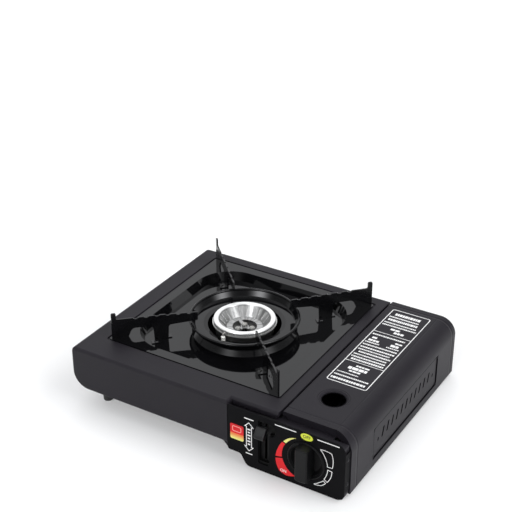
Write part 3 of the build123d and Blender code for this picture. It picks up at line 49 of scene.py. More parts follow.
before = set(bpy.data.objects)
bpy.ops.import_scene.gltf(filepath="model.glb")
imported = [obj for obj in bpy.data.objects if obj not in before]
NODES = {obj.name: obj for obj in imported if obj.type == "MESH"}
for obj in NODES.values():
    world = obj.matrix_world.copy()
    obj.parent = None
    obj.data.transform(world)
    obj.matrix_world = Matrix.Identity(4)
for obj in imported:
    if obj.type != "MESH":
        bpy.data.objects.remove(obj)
FRAME_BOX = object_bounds()
MM = 0.001


def middle(node):
    """Centre of a node's box."""
    low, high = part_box(node)
    return (low + high) / 2


PANEL_FACE_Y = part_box("control_panel")[0].y
KNOB_REACH = 0.012                  # the knob stands this far in front of the body
KNOB_AXIS = middle("valve_spindle")
BURNER = middle("burner_head")
LID_LOW, LID_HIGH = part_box("cartridge_lid")
LEVER_CAP = middle("lever_cap")
HEAD_LOW, HEAD_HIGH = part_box("burner_head")
HEAD_RADIUS = (HEAD_HIGH.x - HEAD_LOW.x) / 2
RIM_LAND = HEAD_RADIUS - 0.0062     # inner radius of the head's flat rim
HEAD_PORTS = 84
SEAT_Z = HEAD_HIGH.z - 0.0038       # where the head sits on the casting's flange

# Vent field of the lid: middle and half size as (y, z), and the slots in it
VENT_MIDDLE = (LID_LOW.y + 0.1300, 0.03275)
VENT_HALF = (0.0795, 0.01875)
VENT_LINE = 0.0017                  # reach of the line pressed round the field, and of its painted shade
SLOT_FIRST = (LID_LOW.y + 0.0623, 0.0350)
SLOT_PITCH = 0.0114
SLOT_LEAN = 0.325
SLOT_MIDDLE = 6.0                   # number of the middle slot, counted from 0
SLOT_SPAN = (5.4, 5.5)              # slots with painted shade at their edges on either side of it
# Half width and half height of the painted shade round each slot
SLOT_HALF_WIDTH = (0.0012, 0.0021)
SLOT_HALF_HEIGHT = (0.0052, 0.0062)
SIDE_FACE = (LID_HIGH.x - 0.0030, LID_HIGH.x - 0.0018)
TOP_FACE = (LID_HIGH.z - 0.0034, LID_HIGH.z - 0.0024)

# View hole of the lid: middle as (x, y), pressed ring and the lip's painted shade
VIEW_HOLE = (0.1230, LID_LOW.y + 0.0501)
VIEW_RING = 0.0163
VIEW_RING_REACH = 0.0012
VIEW_LIP = (VIEW_RING - 0.0031, VIEW_RING - 0.0024)

# Pressed beads of the lid: axis, place, half width and depth
LID_BEADS = (
    (1, LID_LOW.y + 0.0125, 0.0022, 0.9),
    (1, LID_HIGH.y - 0.0085, 0.0022, 0.9),
    (0, LID_HIGH.x - 0.0195, 0.0014, 0.35),
)

# Colours that no setting changes
# Dark colour of the painted shade in the lid's pressings
PAINTED_SHADE_TONE = (0.004, 0.004, 0.005, 1.0)
DARK_PRINT = (0.05, 0.06, 0.02)
WARM_PRINT = (0.86, 0.20, 0.05)
STICKER_LINE = (0.90, 0.40, 0.36)
SKY_TINT = (0.97, 0.98, 1.0, 1.0)
WHITE = (1.0, 1.0, 1.0, 1.0)

# Prints on the panel, in millimetres from the knob's axis
OFF_RISE = 28.4
OFF_HALF = (6.9, 4.1)
OFF_SIZE, ON_SIZE = 5.0, 4.6
ON_PLACE = (-26.0, -23.4)
BAR_RISE = 30.2
BAR_REACH = (11.9, 36.4)
BAR_WIDTH = 1.1
STICKER_X = (-89.3, -73.2)
STICKER_Z = (-6.0, 1.6, 12.8)       # lower edge, split of the two tones, upper edge
ARROW_MIDDLE = (-17.4, 3.0)         # from the lever cap, and from the knob's axis
LETTER_WEIGHT = 0.012               # added to the strokes, as a share of the size
LETTER_DEPTH = 0.00002

# Label of the lid, in millimetres: size, and its corner from the lid's
LABEL_SIZE = (46.0, 164.2)
LABEL_CORNER = (9.8, 78.9)

# Camera: direction in degrees, and place
CAMERA_AZIMUTH = 31.23
CAMERA_ELEVATION = 28.16
CAMERA_PLACE = Vector((0.5717, -0.9606, 0.7716))
SENSOR = 36.0
CLIP = (0.05, 30.0)

# Floor, sky and lamp
FLOOR_REACH = 14.0
FLOOR_DROP = 0.0004
LOBES = (                           # axis, sharpness, name of the strength's setting
    ((-0.35, 0.50, 0.95), 5.0, "overhead"),
    ((-0.064, -0.82, 0.567), 44.0, "front"),
    ((0.846, -0.093, 0.523), 44.0, "side"),
)
HORIZON = (0.10, 0.30)              # reflections pass from white to the sky
LAMP_TOWARDS = Vector((0.70, 0.30, 0.80))
LAMP_SPREAD = 28.0                  # degrees


# ---------------------------------------------------------------- settings
def colour(name, value, note):
    return FloatVectorProperty(
        name=name, description=note, subtype="COLOR", size=3, min=0.0, max=1.0, default=value)


class StovePaint(bpy.types.PropertyGroup):
    """Paint and enamel of the sheet-metal pieces."""
    coat: colour("Powder coat", (0.0138, 0.0121, 0.0160), "Satin coat of cover and lid")
    panel: colour("Panel", (0.0046, 0.0045, 0.0052), "Matte coat of the control panel")
    enamel: colour("Enamel", (0.0032, 0.0032, 0.0037), "Glossy enamel of tray and bowl")
    arm: colour("Arms", (0.0032, 0.0032, 0.0038), "Satin enamel of the pan supports")
    coat_roughness: FloatProperty(
        name="Coat roughness", description="Roughness of the powder coat", default=0.50,
        min=0.0, max=1.0)
    enamel_roughness: FloatProperty(
        name="Enamel roughness", description="Roughness of the enamel", default=0.05,
        min=0.0, max=1.0)


class StovePrint(bpy.types.PropertyGroup):
    """Printed marks on the panel and the lid."""
    ink: FloatProperty(
        name="Ink", description="Thickness of the print", default=0.00008, unit="LENGTH",
        precision=6)
    line: FloatProperty(
        name="Line", description="Width of the thin printed lines", default=0.0007,
        unit="LENGTH", precision=5)
    white: colour("White", (0.93, 0.93, 0.92), "White print")
    red: colour("Red", (0.80, 0.010, 0.016), "Flame band")
    yellow: colour("Yellow", (0.90, 0.86, 0.26), "Low flame end of the band")
    lime: colour("Lime", (0.76, 0.84, 0.07), "Field of the OFF mark")
    words: FloatProperty(
        name="Label blocks",
        description="Length of the label's plain blocks, as a share of their rows' own",
        default=1.0, min=0.3, max=3.0)


class StoveMetal(bpy.types.PropertyGroup):
    """Bare metals and the small pieces."""
    ring: colour("Ring", (0.93, 0.93, 0.92), "Turned aluminium of the burner head")
    zinc: colour("Zinc", (0.56, 0.57, 0.58), "Plated sheet steel inside")
    casting: colour("Casting", (0.48, 0.48, 0.47), "Die-cast alloy")
    brass: colour("Brass", (0.72, 0.54, 0.26), "Turned brass")
    copper: colour("Copper", (0.72, 0.40, 0.25), "Gas pipe")


class StoveStage(bpy.types.PropertyGroup):
    """Floor, light and camera."""
    floor: colour("Floor", (0.74, 0.74, 0.74), "Pale floor")
    sky: FloatProperty(name="Sky", description="Strength of the even sky", default=0.28)
    lens: FloatProperty(
        name="Lens", description="Focal length of the camera", default=83.18, unit="CAMERA")
    overhead: FloatProperty(
        name="Overhead", description="Strength of the lobe above", default=1.5)
    front: FloatProperty(
        name="Front", description="Strength of the lobe in front", default=9.5)
    side: FloatProperty(
        name="Side", description="Strength of the lobe at the right", default=8.5)
    lamp: FloatProperty(name="Lamp", description="Strength of the broad lamp", default=0.9)
    lift: FloatProperty(
        name="Floor lift", description="White added to the seen floor", default=0.24)


# ---------------------------------------------------------------- shader writing
class Signal:
    """A socket of a material; arithmetic on it adds Math nodes."""

    def __init__(self, recipe, socket):
        self.recipe = recipe
        self.socket = socket

    def math(self, operation, *values, clamp=False):
        settings = {"operation": operation, "use_clamp": clamp}
        inputs = dict(enumerate([self, *values]))
        return self.recipe.node("ShaderNodeMath", settings, inputs)

    def __add__(self, other):
        return self.math("ADD", other)

    def __mul__(self, other):
        return self.math("MULTIPLY", other)

    def __sub__(self, other):
        return self.math("SUBTRACT", other)

    def __rsub__(self, other):
        return self.math("MULTIPLY", -1.0) + other

    def __truediv__(self, other):
        return self.math("DIVIDE", other)

    def __abs__(self):
        return self.math("ABSOLUTE")

    __radd__ = __add__
    __rmul__ = __mul__

    def power(self, exponent):
        return self.math("POWER", exponent)

    def step(self, low, high):
        """0 below low, 1 above high, smooth between."""
        inputs = {"Value": self, "From Min": low, "From Max": high}
        settings = {"interpolation_type": "SMOOTHSTEP"}
        return self.recipe.node("ShaderNodeMapRange", settings, inputs)

    def ridge(self, place, width):
        """1 at a place, falling to 0 at width from it."""
        return 1.0 - abs(self - place).step(0.0, width)


class Recipe:
    """The nodes of one material, or of the world."""

    def __init__(self, name, kind="materials"):
        self.material = getattr(bpy.data, kind).new(name)
        self.material.use_nodes = True
        self.tree = self.material.node_tree
        self.tree.nodes.clear()

    def node(self, kind, settings=None, inputs=None, output=0):
        """Adds a node: settings first, then values or links of its sockets."""
        made = self.tree.nodes.new(kind)
        for name, value in (settings or {}).items():
            setattr(made, name, value)
        for key, value in (inputs or {}).items():
            if isinstance(value, Signal):
                self.tree.links.new(value.socket, made.inputs[key])
            else:
                made.inputs[key].default_value = value
        return Signal(self, made.outputs[output])

    def place(self):
        return self.node("ShaderNodeTexCoord", output="Object")

    def axes(self, vector):
        made = self.node("ShaderNodeSeparateXYZ", None, {0: vector}).socket.node
        return [Signal(self, made.outputs[i]) for i in range(3)]

    def noise(self, vector, scale, detail=3.0, roughness=0.5):
        inputs = {"Vector": vector, "Scale": scale, "Detail": detail, "Roughness": roughness}
        return self.node("ShaderNodeTexNoise", None, inputs)

    def stretched(self, vector, factors):
        settings = {"operation": "MULTIPLY"}
        return self.node("ShaderNodeVectorMath", settings, {0: vector, 1: factors})

    def mix(self, factor, first, second):
        """Colour between two colours."""
        inputs = {0: factor, 6: self.rgba(first), 7: self.rgba(second)}
        return self.node("ShaderNodeMix", {"data_type": "RGBA"}, inputs, output=2)

    @staticmethod
    def rgba(value):
        return value if isinstance(value, Signal) else (*value[:3], 1.0)

    def bump(self, height, distance, strength=1.0):
        inputs = {"Height": height, "Distance": distance, "Strength": strength}
        return self.node("ShaderNodeBump", None, inputs)

    def done(self, base, roughness, normal=None, metallic=0.0, coat=0.0, gloss=0.5, painted_shade=None):
        """The finished material; the last argument is the share of it that is a flat dark
        diffuse, painted shade.
        """
        inputs = {
            "Base Color": self.rgba(base), "Roughness": roughness, "Metallic": metallic,
            "Coat Weight": coat, "Specular IOR Level": gloss,
        }
        if normal is not None:
            inputs["Normal"] = normal
        shader = self.node("ShaderNodeBsdfPrincipled", None, inputs)
        # Painted shade: a flat dark diffuse, mixed in by the given share
        if painted_shade is not None:
            dull = self.node("ShaderNodeBsdfDiffuse", None, {"Color": PAINTED_SHADE_TONE})
            shader = self.node("ShaderNodeMixShader", None, {0: painted_shade, 1: shader, 2: dull})
        self.node_output(shader)
        return self.material

    def node_output(self, shader, kind="ShaderNodeOutputMaterial"):
        end = self.tree.nodes.new(kind)
        self.tree.links.new(shader.socket, end.inputs["Surface"])


def shade(value, factor):
    """A colour made darker or lighter."""
    return tuple(min(1.0, channel * factor) for channel in value[:3])


# ---------------------------------------------------------------- finishes
def powder_coat(name, base, roughness, beads=(), gloss=0.20, pressings=None):
    """Satin powder coat: orange-peel bump, faint mottling, pressed beads along an axis, and
    further pressings, which give a depth and a share of painted shade."""
    recipe = Recipe(name)
    spot = recipe.place()
    mottling = recipe.noise(spot, 34.0, 4.0)
    peel = recipe.noise(spot, 900.0, 2.0, 0.6)
    tone = recipe.mix(mottling.step(0.3, 0.7), shade(base, 0.93), shade(base, 1.07))
    height = peel * 0.05
    for axis, place, width, depth in beads:
        height = height - recipe.axes(spot)[axis].ridge(place, width) * depth
    # The pressings' second result is the share of painted shade
    edge = None
    if pressings:
        sunk, edge = pressings(recipe, spot)
        height = height - sunk
    normal = recipe.bump(height, 0.0006)
    return recipe.done(tone, mottling * 0.10 + (roughness - 0.05), normal, gloss=gloss, painted_shade=edge)


def lid_pressings(recipe, spot):
    """Lines pressed round the vent field and the view hole, with painted shade along the field's
    line, at the slots' edges and inside the view hole's ring: the field's line is where max(|y -
    yc| - half length, |z - zc| - half height) is 0."""
    x, y, z = recipe.axes(spot)
    on_side = x.step(*SIDE_FACE)
    on_top = z.step(*TOP_FACE)
    along = abs(y - VENT_MIDDLE[0]) - VENT_HALF[0]
    border = along.math("MAXIMUM", abs(z - VENT_MIDDLE[1]) - VENT_HALF[1])
    line = border.ridge(0.0, VENT_LINE) * on_side
    slant = y - (z - SLOT_FIRST[1]) * SLOT_LEAN
    step = (slant - SLOT_FIRST[0]) / SLOT_PITCH
    offset = abs(step - step.math("ROUND")) * SLOT_PITCH
    row = (1.0 - abs(step - SLOT_MIDDLE).step(*SLOT_SPAN)) * on_side
    tall = 1.0 - abs(z - SLOT_FIRST[1]).step(*SLOT_HALF_HEIGHT)
    slots = (1.0 - offset.step(*SLOT_HALF_WIDTH)) * tall * row
    across, deep = x - VIEW_HOLE[0], y - VIEW_HOLE[1]
    radius = (across * across + deep * deep).power(0.5)
    ring = radius.ridge(VIEW_RING, VIEW_RING_REACH) * on_top
    lip = (1.0 - radius.step(*VIEW_LIP)) * on_top
    # Painted shade: dark along the field's pressed line, at the slots' edges and at the view
    # hole's lip
    edge = (line * 0.95).math("MAXIMUM", slots * 0.9).math("MAXIMUM", lip * 0.8)
    return line * 1.2 + ring * 0.9, edge


def enamel(name, base, roughness, waviness=1.0, gloss=0.5):
    """Fired enamel: near-mirror gloss over long slight waves, with a few pinholes."""
    recipe = Recipe(name)
    spot = recipe.place()
    waves = recipe.noise(spot, 9.0, 1.0)
    pits = recipe.noise(spot, 620.0, 2.0).step(0.72, 0.80)
    normal = recipe.bump(waves * waviness - pits * 0.04, 0.0005)
    smears = recipe.noise(recipe.stretched(spot, (1.0, 2.6, 1.0)), 18.0, 5.0, 0.6)
    return recipe.done(recipe.mix(smears, shade(base, 0.9), shade(base, 1.15)),
                       smears.step(0.5, 0.9) * 0.03 + roughness, normal, gloss=gloss)


def turned_alloy(name, base, roughness):
    """Turned aluminium: fine rings round the burner's axis on the bright rim land, a duller
    fluted throat with streaks down its wall, a painted shadow line where the two meet, and a
    darker outer wall with the painted shade of a port opening at each flame port, carried up to
    the rim."""
    recipe = Recipe(name)
    spot = recipe.place()
    x, y, z = recipe.axes(spot)
    across, deep = x - BURNER.x, y - BURNER.y
    radius = (across * across + deep * deep).power(0.5)
    rings = (radius * 9000.0).math("SINE") * 0.5 + 0.5
    land = radius.step(RIM_LAND - 0.0003, RIM_LAND)
    turn = across.math("ARCTAN2", deep)
    wall = recipe.node("ShaderNodeCombineXYZ", None, {0: turn * 3.0, 1: z * 20.0})
    streaks = recipe.noise(wall, 2.2, 3.0).step(0.35, 0.70)
    stain = recipe.noise(spot, 90.0, 4.0).step(0.45, 0.75)
    throat = recipe.mix(streaks, shade(base, 0.32), shade(base, 0.74))
    throat = recipe.mix(stain * 0.55, throat, shade(base, 0.36))
    tone = recipe.mix(land, throat, base)
    # Painted shadow: a dark line at the inner edge of the rim land
    tone = recipe.mix(radius.ridge(RIM_LAND - 0.0002, 0.0006) * 0.75, tone, shade(base, 0.2))
    skirt = radius.step(HEAD_RADIUS - 0.0009, HEAD_RADIUS - 0.0005)
    skirt = skirt * (1.0 - z.step(HEAD_HIGH.z - 0.0012, HEAD_HIGH.z - 0.0006))
    # Painted shade of the flame ports: a dark opening at each port's angle, up the outer wall to
    # the rim
    comb = deep.math("ARCTAN2", across) * (HEAD_PORTS / (2 * math.pi))
    reach = abs(comb - comb.math("ROUND")) * (2 * math.pi * HEAD_RADIUS / HEAD_PORTS)
    painted_port_shade = 1.0 - reach.step(0.0004, 0.0008)
    tone = recipe.mix(skirt, tone, recipe.mix(painted_port_shade, shade(base, 0.42), shade(base, 0.01)))
    chatter = recipe.noise(recipe.stretched(spot, (1.0, 1.0, 0.2)), 420.0, 3.0)
    normal = recipe.bump(rings * 0.4 + chatter * 0.3, 0.00006)
    return recipe.done(tone, chatter * 0.10 + (1.0 - land) * 0.10 + roughness, normal,
                       metallic=1.0 - skirt * 0.75)


def rolled_steel(name, base, roughness=0.34):
    """Zinc-plated sheet: faint grain along the rolling direction and soft spangles."""
    recipe = Recipe(name)
    spot = recipe.place()
    grain = recipe.noise(recipe.stretched(spot, (1.0, 0.06, 1.0)), 1200.0, 2.0)
    spangle = recipe.noise(spot, 140.0, 1.0)
    tone = recipe.mix(spangle.step(0.35, 0.65), shade(base, 0.86), shade(base, 1.08))
    normal = recipe.bump(grain, 0.00004)
    return recipe.done(tone, grain * 0.14 + roughness, normal, metallic=1.0)


def cast_metal(name, base, machined=None):
    """Die casting: granular skin with darker hollows, brighter above a machined height."""
    recipe = Recipe(name)
    spot = recipe.place()
    skin = recipe.noise(spot, 700.0, 4.0, 0.65)
    patch = recipe.noise(spot, 60.0, 3.0)
    tone = recipe.mix(patch.step(0.3, 0.7), shade(base, 0.78), shade(base, 1.05))
    if machined is not None:
        bright = recipe.axes(spot)[2].step(machined - 0.0014, machined - 0.0009)
        tone = recipe.mix(bright, tone, shade(base, 4.6))
    return recipe.done(tone, patch * 0.15 + 0.42, recipe.bump(skin, 0.00018), metallic=1.0)


def drawn_metal(name, base, roughness=0.26):
    """Turned or drawn brass and copper with fine scratches and dull patches."""
    recipe = Recipe(name)
    spot = recipe.place()
    scratch = recipe.noise(recipe.stretched(spot, (0.15, 1.0, 1.0)), 1500.0, 2.0)
    dull = recipe.noise(spot, 75.0, 3.0)
    tone = recipe.mix(dull.step(0.4, 0.75), base, shade(base, 0.72))
    return recipe.done(tone, dull * 0.2 + roughness, recipe.bump(scratch, 0.00004), metallic=1.0)


def moulded(name, base, roughness=0.46, grain=0.00010, gloss=0.5):
    """Moulded plastic or rubber: spark-eroded texture and slight wear of the gloss."""
    recipe = Recipe(name)
    spot = recipe.place()
    texture = recipe.noise(spot, 1300.0, 2.0, 0.7)
    handling = recipe.noise(spot, 55.0, 3.0)
    tone = recipe.mix(handling.step(0.35, 0.7), shade(base, 0.92), shade(base, 1.12))
    normal = recipe.bump(texture, grain)
    return recipe.done(tone, handling * 0.12 + (roughness - 0.06), normal, gloss=gloss)


def glazed(name, base):
    """Glazed ceramic with a faint speckle."""
    recipe = Recipe(name)
    speck = recipe.noise(recipe.place(), 800.0, 2.0).step(0.62, 0.75)
    return recipe.done(recipe.mix(speck, base, shade(base, 0.8)), 0.16, coat=0.5)


def ink(name, base, gloss=0.35):
    """Screen print: slightly uneven coverage and a low sheen."""
    recipe = Recipe(name)
    cover = recipe.noise(recipe.place(), 1400.0, 3.0)
    tone = recipe.mix(cover.step(0.30, 0.55), shade(base, 0.90), base)
    return recipe.done(tone, cover * 0.1 + 0.42, recipe.bump(cover, 0.00002), gloss=gloss)


def faded_ink(name, low_colour, high_colour, low, high):
    """Screen print that fades from one colour to another between two heights."""
    recipe = Recipe(name)
    height = recipe.axes(recipe.place())[2]
    tone = recipe.mix(height.step(low, high), low_colour, high_colour)
    return recipe.done(tone, 0.45, gloss=0.3)


def coat_node(material, *names):
    """Gives CAD nodes a material."""
    for name in names:
        mesh = NODES[name].data
        mesh.materials.clear()
        mesh.materials.append(material)


# ---------------------------------------------------------------- surfaces
def surface(name, points, faces, material, body):
    """Mesh object at the origin from point and face arrays."""
    mesh = bpy.data.meshes.new(name)
    mesh.from_pydata(points.reshape(-1, 3).tolist(), [], faces.tolist())
    mesh.update()
    made = bpy.data.objects.new(name, mesh)
    bpy.context.scene.collection.objects.link(made)
    mesh.materials.append(material)
    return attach(made, body)


def quads(rows, columns, wrap_rows):
    """Faces of a rows x columns grid whose columns close on themselves."""
    starts = np.arange(rows if wrap_rows else rows - 1)
    i, j = np.meshgrid(starts, np.arange(columns), indexing="ij")
    a, b = i * columns + j, i * columns + (j + 1) % columns
    down = ((i + 1) % rows) * columns
    return np.stack([a, b, down + (j + 1) % columns, down + j], -1).reshape(-1, 4)


def ribbon_arrays(first, second, depth, closed):
    """Flat band between two edge lines, given thickness by carrying a four-point profile:
    point(i, k) walks first edge, second edge, then both again moved by depth."""
    profile = np.stack([first, second, second + depth, first + depth], 1)
    faces = quads(len(first), 4, closed)
    if not closed:
        end = (len(first) - 1) * 4
        caps = np.array([[3, 2, 1, 0], [end, end + 1, end + 2, end + 3]])
        faces = np.concatenate([faces, caps])
    return profile.reshape(-1, 3), faces


def join_arrays(parts):
    """Several point and face arrays as one."""
    points, faces, start = [], [], 0
    for some_points, some_faces in parts:
        points.append(some_points)
        faces.append(some_faces + start)
        start += len(some_points)
    return np.concatenate(points), np.concatenate(faces)


def on_panel(x, z, lift):
    """Points on the panel's face from x and z in metres, lifted off it by the ink."""
    x, z = np.broadcast_arrays(np.asarray(x, float), np.asarray(z, float))
    return np.stack([x, np.full(x.shape, PANEL_FACE_Y - lift), z], -1)


def on_lid(x, y, lift):
    """Points on the lid's top from x and y in metres."""
    x, y = np.broadcast_arrays(np.asarray(x, float), np.asarray(y, float))
    return np.stack([x, y, np.full(x.shape, LID_HIGH.z + lift)], -1)


def outline_edges(points, width):
    """Inner and outer edge of a line of a width along a closed outline in the plane: each
    corner is moved along its mitre, the sum of the normals of the two runs that meet there."""
    ahead = np.roll(points, -1, 0) - points
    normal = np.stack([ahead[:, 1], -ahead[:, 0]], 1)
    normal /= np.linalg.norm(normal, axis=1, keepdims=True)
    before = np.roll(normal, 1, 0)
    mitre = normal + before
    mitre /= np.maximum((mitre * normal).sum(1, keepdims=True), 0.35)
    return points - mitre * width / 2, points + mitre * width / 2


def rounded_outline(x0, x1, y0, y1, radius, steps=5):
    """Closed outline of a rectangle with round corners, anticlockwise: each corner's centre
    plus radius (cos t, sin t) over a quarter turn."""
    t = np.radians(np.linspace(0, 90, steps))[None, :] + np.radians([[180], [270], [0], [90]])
    centres = np.array([(x0 + radius, y0 + radius), (x1 - radius, y0 + radius),
                        (x1 - radius, y1 - radius), (x0 + radius, y1 - radius)])
    points = centres[:, None, :] + radius * np.stack([np.cos(t), np.sin(t)], -1)
    return points.reshape(-1, 2)


def rounded_halves(x0, x1, y0, y1, radius, steps=7):
    """Lower and upper edge of a round-cornered field, from left to right."""
    t = np.radians(np.linspace(0, 90, steps))
    x = np.concatenate([x0 + radius * (1 - np.cos(t)), x1 - radius * (1 - np.cos(t[::-1]))])
    rise = np.tile(0.0, 2 * steps)
    rise[:steps] = radius * (1 - np.sin(t))
    rise[steps:] = radius * (1 - np.sin(t[::-1]))
    return np.stack([x, y0 + rise], 1), np.stack([x, y1 - rise], 1)


def arc_points(angles, radii):
    """Points about the knob's axis from angles in degrees and radii in metres."""
    turn = np.radians(angles)
    return np.stack([KNOB_AXIS.x + radii * np.cos(turn), KNOB_AXIS.z + radii * np.sin(turn)], 1)


def shaped(angle, knots):
    """Radius that runs straight between (angle, radius) knots."""
    places, radii = zip(*knots)
    return np.interp(angle, places, radii) * MM


# Flame band round the knob: (angle, inner, outer) knots in degrees and millimetres
LOW_FLAME = ((119.0, 25.4, 25.7), (136.0, 25.6, 28.0), (153.0, 26.2, 29.6))
MIDDLE_FLAME = ((156.0, 26.6, 30.2), (175.0, 27.6, 32.6), (193.0, 28.6, 36.2))
FULL_FLAME = ((196.5, 28.6, 36.8), (208.0, 28.6, 38.6), (219.0, 28.7, 39.6), (231.0, 28.3, 36.0),
              (243.0, 27.8, 28.4))
# Open fields on the other side of the knob, getting smaller clockwise
FIELDS = (
    ((51.0, 25.0, 25.6), (34.2, 24.3, 34.0), (23.7, 24.1, 32.6), (3.9, 24.0, 29.4)),
    ((-5.0, 24.4, 29.2), (-20.0, 24.8, 29.8), (-36.0, 25.4, 29.8)),
    ((-41.0, 26.4, 29.8), (-54.0, 26.2, 30.0), (-69.0, 27.0, 27.6)),
)


def band_edges(knots, steps=18):
    """Inner and outer edge of a band about the knob's axis, as plane points."""
    order = sorted(knots)
    corners = np.array([angle for angle, _, _ in order])
    angles = np.union1d(np.linspace(corners[0], corners[-1], steps), corners)
    inner = shaped(angles, [(a, i) for a, i, _ in order])
    outer = shaped(angles, [(a, o) for a, _, o in order])
    return arc_points(angles, inner), arc_points(angles, outer)


def panel_ribbon(first, second, ink_depth, closed=False):
    """Printed band on the panel between two lines of plane points."""
    lift = np.array([0.0, ink_depth * 0.9, 0.0])
    front_first = on_panel(first[:, 0], first[:, 1], ink_depth)
    front_second = on_panel(second[:, 0], second[:, 1], ink_depth)
    return ribbon_arrays(front_first, front_second, lift, closed)


def panel_bar(x0, x1, z, width, ink_depth):
    """Straight printed bar, level with the floor."""
    low = np.array([[x0, z - width / 2], [x1, z - width / 2]])
    high = np.array([[x0, z + width / 2], [x1, z + width / 2]])
    return panel_ribbon(high, low, ink_depth)


def letters(name, word, size, centre, material, body):
    """Plain letters on the panel."""
    curve = bpy.data.curves.new(name, "FONT")
    curve.body = word
    curve.size = size
    curve.align_x = "CENTER"
    curve.align_y = "CENTER"
    curve.offset = size * LETTER_WEIGHT
    curve.extrude = LETTER_DEPTH
    made = bpy.data.objects.new(name + "_curve", curve)
    bpy.context.scene.collection.objects.link(made)
    flat = made.evaluated_get(bpy.context.evaluated_depsgraph_get())
    mesh = bpy.data.meshes.new_from_object(flat)
    bpy.data.objects.remove(made)
    mesh.name = name
    upright = Matrix.Rotation(math.radians(90), 4, "X")
    mesh.transform(Matrix.Translation(centre) @ upright)
    mesh.materials.clear()
    mesh.materials.append(material)
    text = bpy.data.objects.new(name, mesh)
    bpy.context.scene.collection.objects.link(text)
    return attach(text, body)


# ---------------------------------------------------------------- operators
class FinishOperator(bpy.types.Operator):
    """Common to all the makers"""
    bl_options = {"REGISTER", "UNDO"}

    def execute(self, context):
        self.make(context.scene)
        return {"FINISHED"}


class STOVE_OT_body(FinishOperator):
    """Powder coat on cover and lid, matte coat on the panel"""
    bl_idname = "stove.body"
    bl_label = "Body sheets"

    def make(self, scene):
        paint = scene.stove_paint
        cover = powder_coat("cover_coat", paint.coat, paint.coat_roughness)
        lid = powder_coat("lid_coat", paint.coat, paint.coat_roughness, LID_BEADS,
                          pressings=lid_pressings)
        panel = powder_coat("panel_coat", paint.panel, 0.56, gloss=0.05)
        coat_node(cover, "body_cover")
        coat_node(lid, "cartridge_lid")
        coat_node(panel, "control_panel")
        if FRAME_BOX[0].y + KNOB_REACH > LID_LOW.y:
            raise RuntimeError("the lid reaches in front of the panel")


class STOVE_OT_tray(FinishOperator):
    """Enamel on tray and bowl, satin enamel on the arms"""
    bl_idname = "stove.tray"
    bl_label = "Tray, bowl and arms"

    def make(self, scene):
        paint = scene.stove_paint
        coat_node(enamel("tray_enamel", paint.enamel, paint.enamel_roughness, 1.6, 0.38),
                  "drip_tray")
        coat_node(enamel("bowl_enamel", paint.enamel, paint.enamel_roughness, 0.3, 0.34),
                  "burner_bowl")
        arms = [name for name in NODES if name.startswith("pot_arm_")]
        coat_node(enamel("arm_enamel", paint.arm, 0.20, 0.5, 0.5), *arms)
        coat_node(enamel("rivet_enamel", paint.arm, 0.2, 0.5, 0.4), "arm_rivets")


class STOVE_OT_burner(FinishOperator):
    """Turned head, casting, screws, electrode"""
    bl_idname = "stove.burner"
    bl_label = "Burner"

    def make(self, scene):
        metal = scene.stove_metal
        coat_node(turned_alloy("turned_head", metal.ring, 0.24), "burner_head")
        # Painted shade: the burner body's casting colour is cut to 0.35, as the body lies in
        # shade under the head
        coat_node(cast_metal("burner_casting", shade(metal.casting, 0.35), SEAT_Z), "burner_body")
        coat_node(drawn_metal("screw_steel", (0.62, 0.61, 0.58), 0.22), "burner_screws")
        coat_node(glazed("glazed_sleeve", (0.88, 0.87, 0.83)), "electrode_insulator")
        coat_node(drawn_metal("electrode_wire", (0.42, 0.40, 0.38), 0.3), "electrode")


class STOVE_OT_inside(FinishOperator):
    """Sheets, gas parts and slide inside the body"""
    bl_idname = "stove.inside"
    bl_label = "Inner pieces"

    def make(self, scene):
        metal = scene.stove_metal
        zinc = rolled_steel("plated_sheet", metal.zinc)
        black = powder_coat("base_coat", scene.stove_paint.coat, 0.55)
        coat_node(black, "base_pan", "front_bridge", "partition", "cartridge_guide")
        coat_node(zinc, "lid_hinge_front", "lid_hinge_rear", "lid_hinge_pins", "lid_catch",
                  "burner_bracket", "lock_lever", "lever_drive_pin", "lever_pivot",
                  "cartridge_slide", "slide_rivets", "pusher_spring", "lever_spring",
                  "regulator_spring", "mixing_tube", "jet_holder", "electrode_bracket",
                  "regulator_screws", "igniter_cam")
        coat_node(drawn_metal("blackened_screw", (0.030, 0.030, 0.033), 0.42), "panel_screws")
        casting = cast_metal("zinc_casting", shade(metal.casting, 1.15))
        coat_node(casting, "regulator_body", "regulator_cap")
        coat_node(drawn_metal("turned_brass", metal.brass), "valve_spindle", "gas_jet")
        coat_node(drawn_metal("copper_tube", metal.copper, 0.3), "gas_pipe")
        coat_node(moulded("igniter_case", (0.74, 0.71, 0.64), 0.4), "piezo_igniter")
        coat_node(moulded("plunger_case", (0.10, 0.10, 0.11), 0.4), "igniter_plunger")
        coat_node(moulded("lead_sleeve", (0.50, 0.06, 0.05), 0.5), "igniter_wire")
        coat_node(moulded("seal_rubber", (0.022, 0.022, 0.022), 0.62),
                  "cartridge_seal", "regulator_diaphragm")


class STOVE_OT_controls(FinishOperator):
    """Knob, lever cap, lever guide and feet"""
    bl_idname = "stove.controls"
    bl_label = "Controls and feet"

    def make(self, scene):
        coat_node(moulded("knob_plastic", (0.0032, 0.0032, 0.0036), 0.46, gloss=0.18), "knob")
        coat_node(moulded("cap_plastic", (0.0050, 0.0050, 0.0054), 0.38, gloss=0.35), "lever_cap")
        guide = moulded("guide_plastic", (0.0030, 0.0030, 0.0032), 0.55, gloss=0.2)
        coat_node(guide, "lever_guide")
        feet = [name for name in NODES if name.startswith("foot_")]
        coat_node(moulded("foot_rubber", (0.024, 0.024, 0.024), 0.66, 0.0002), *feet)


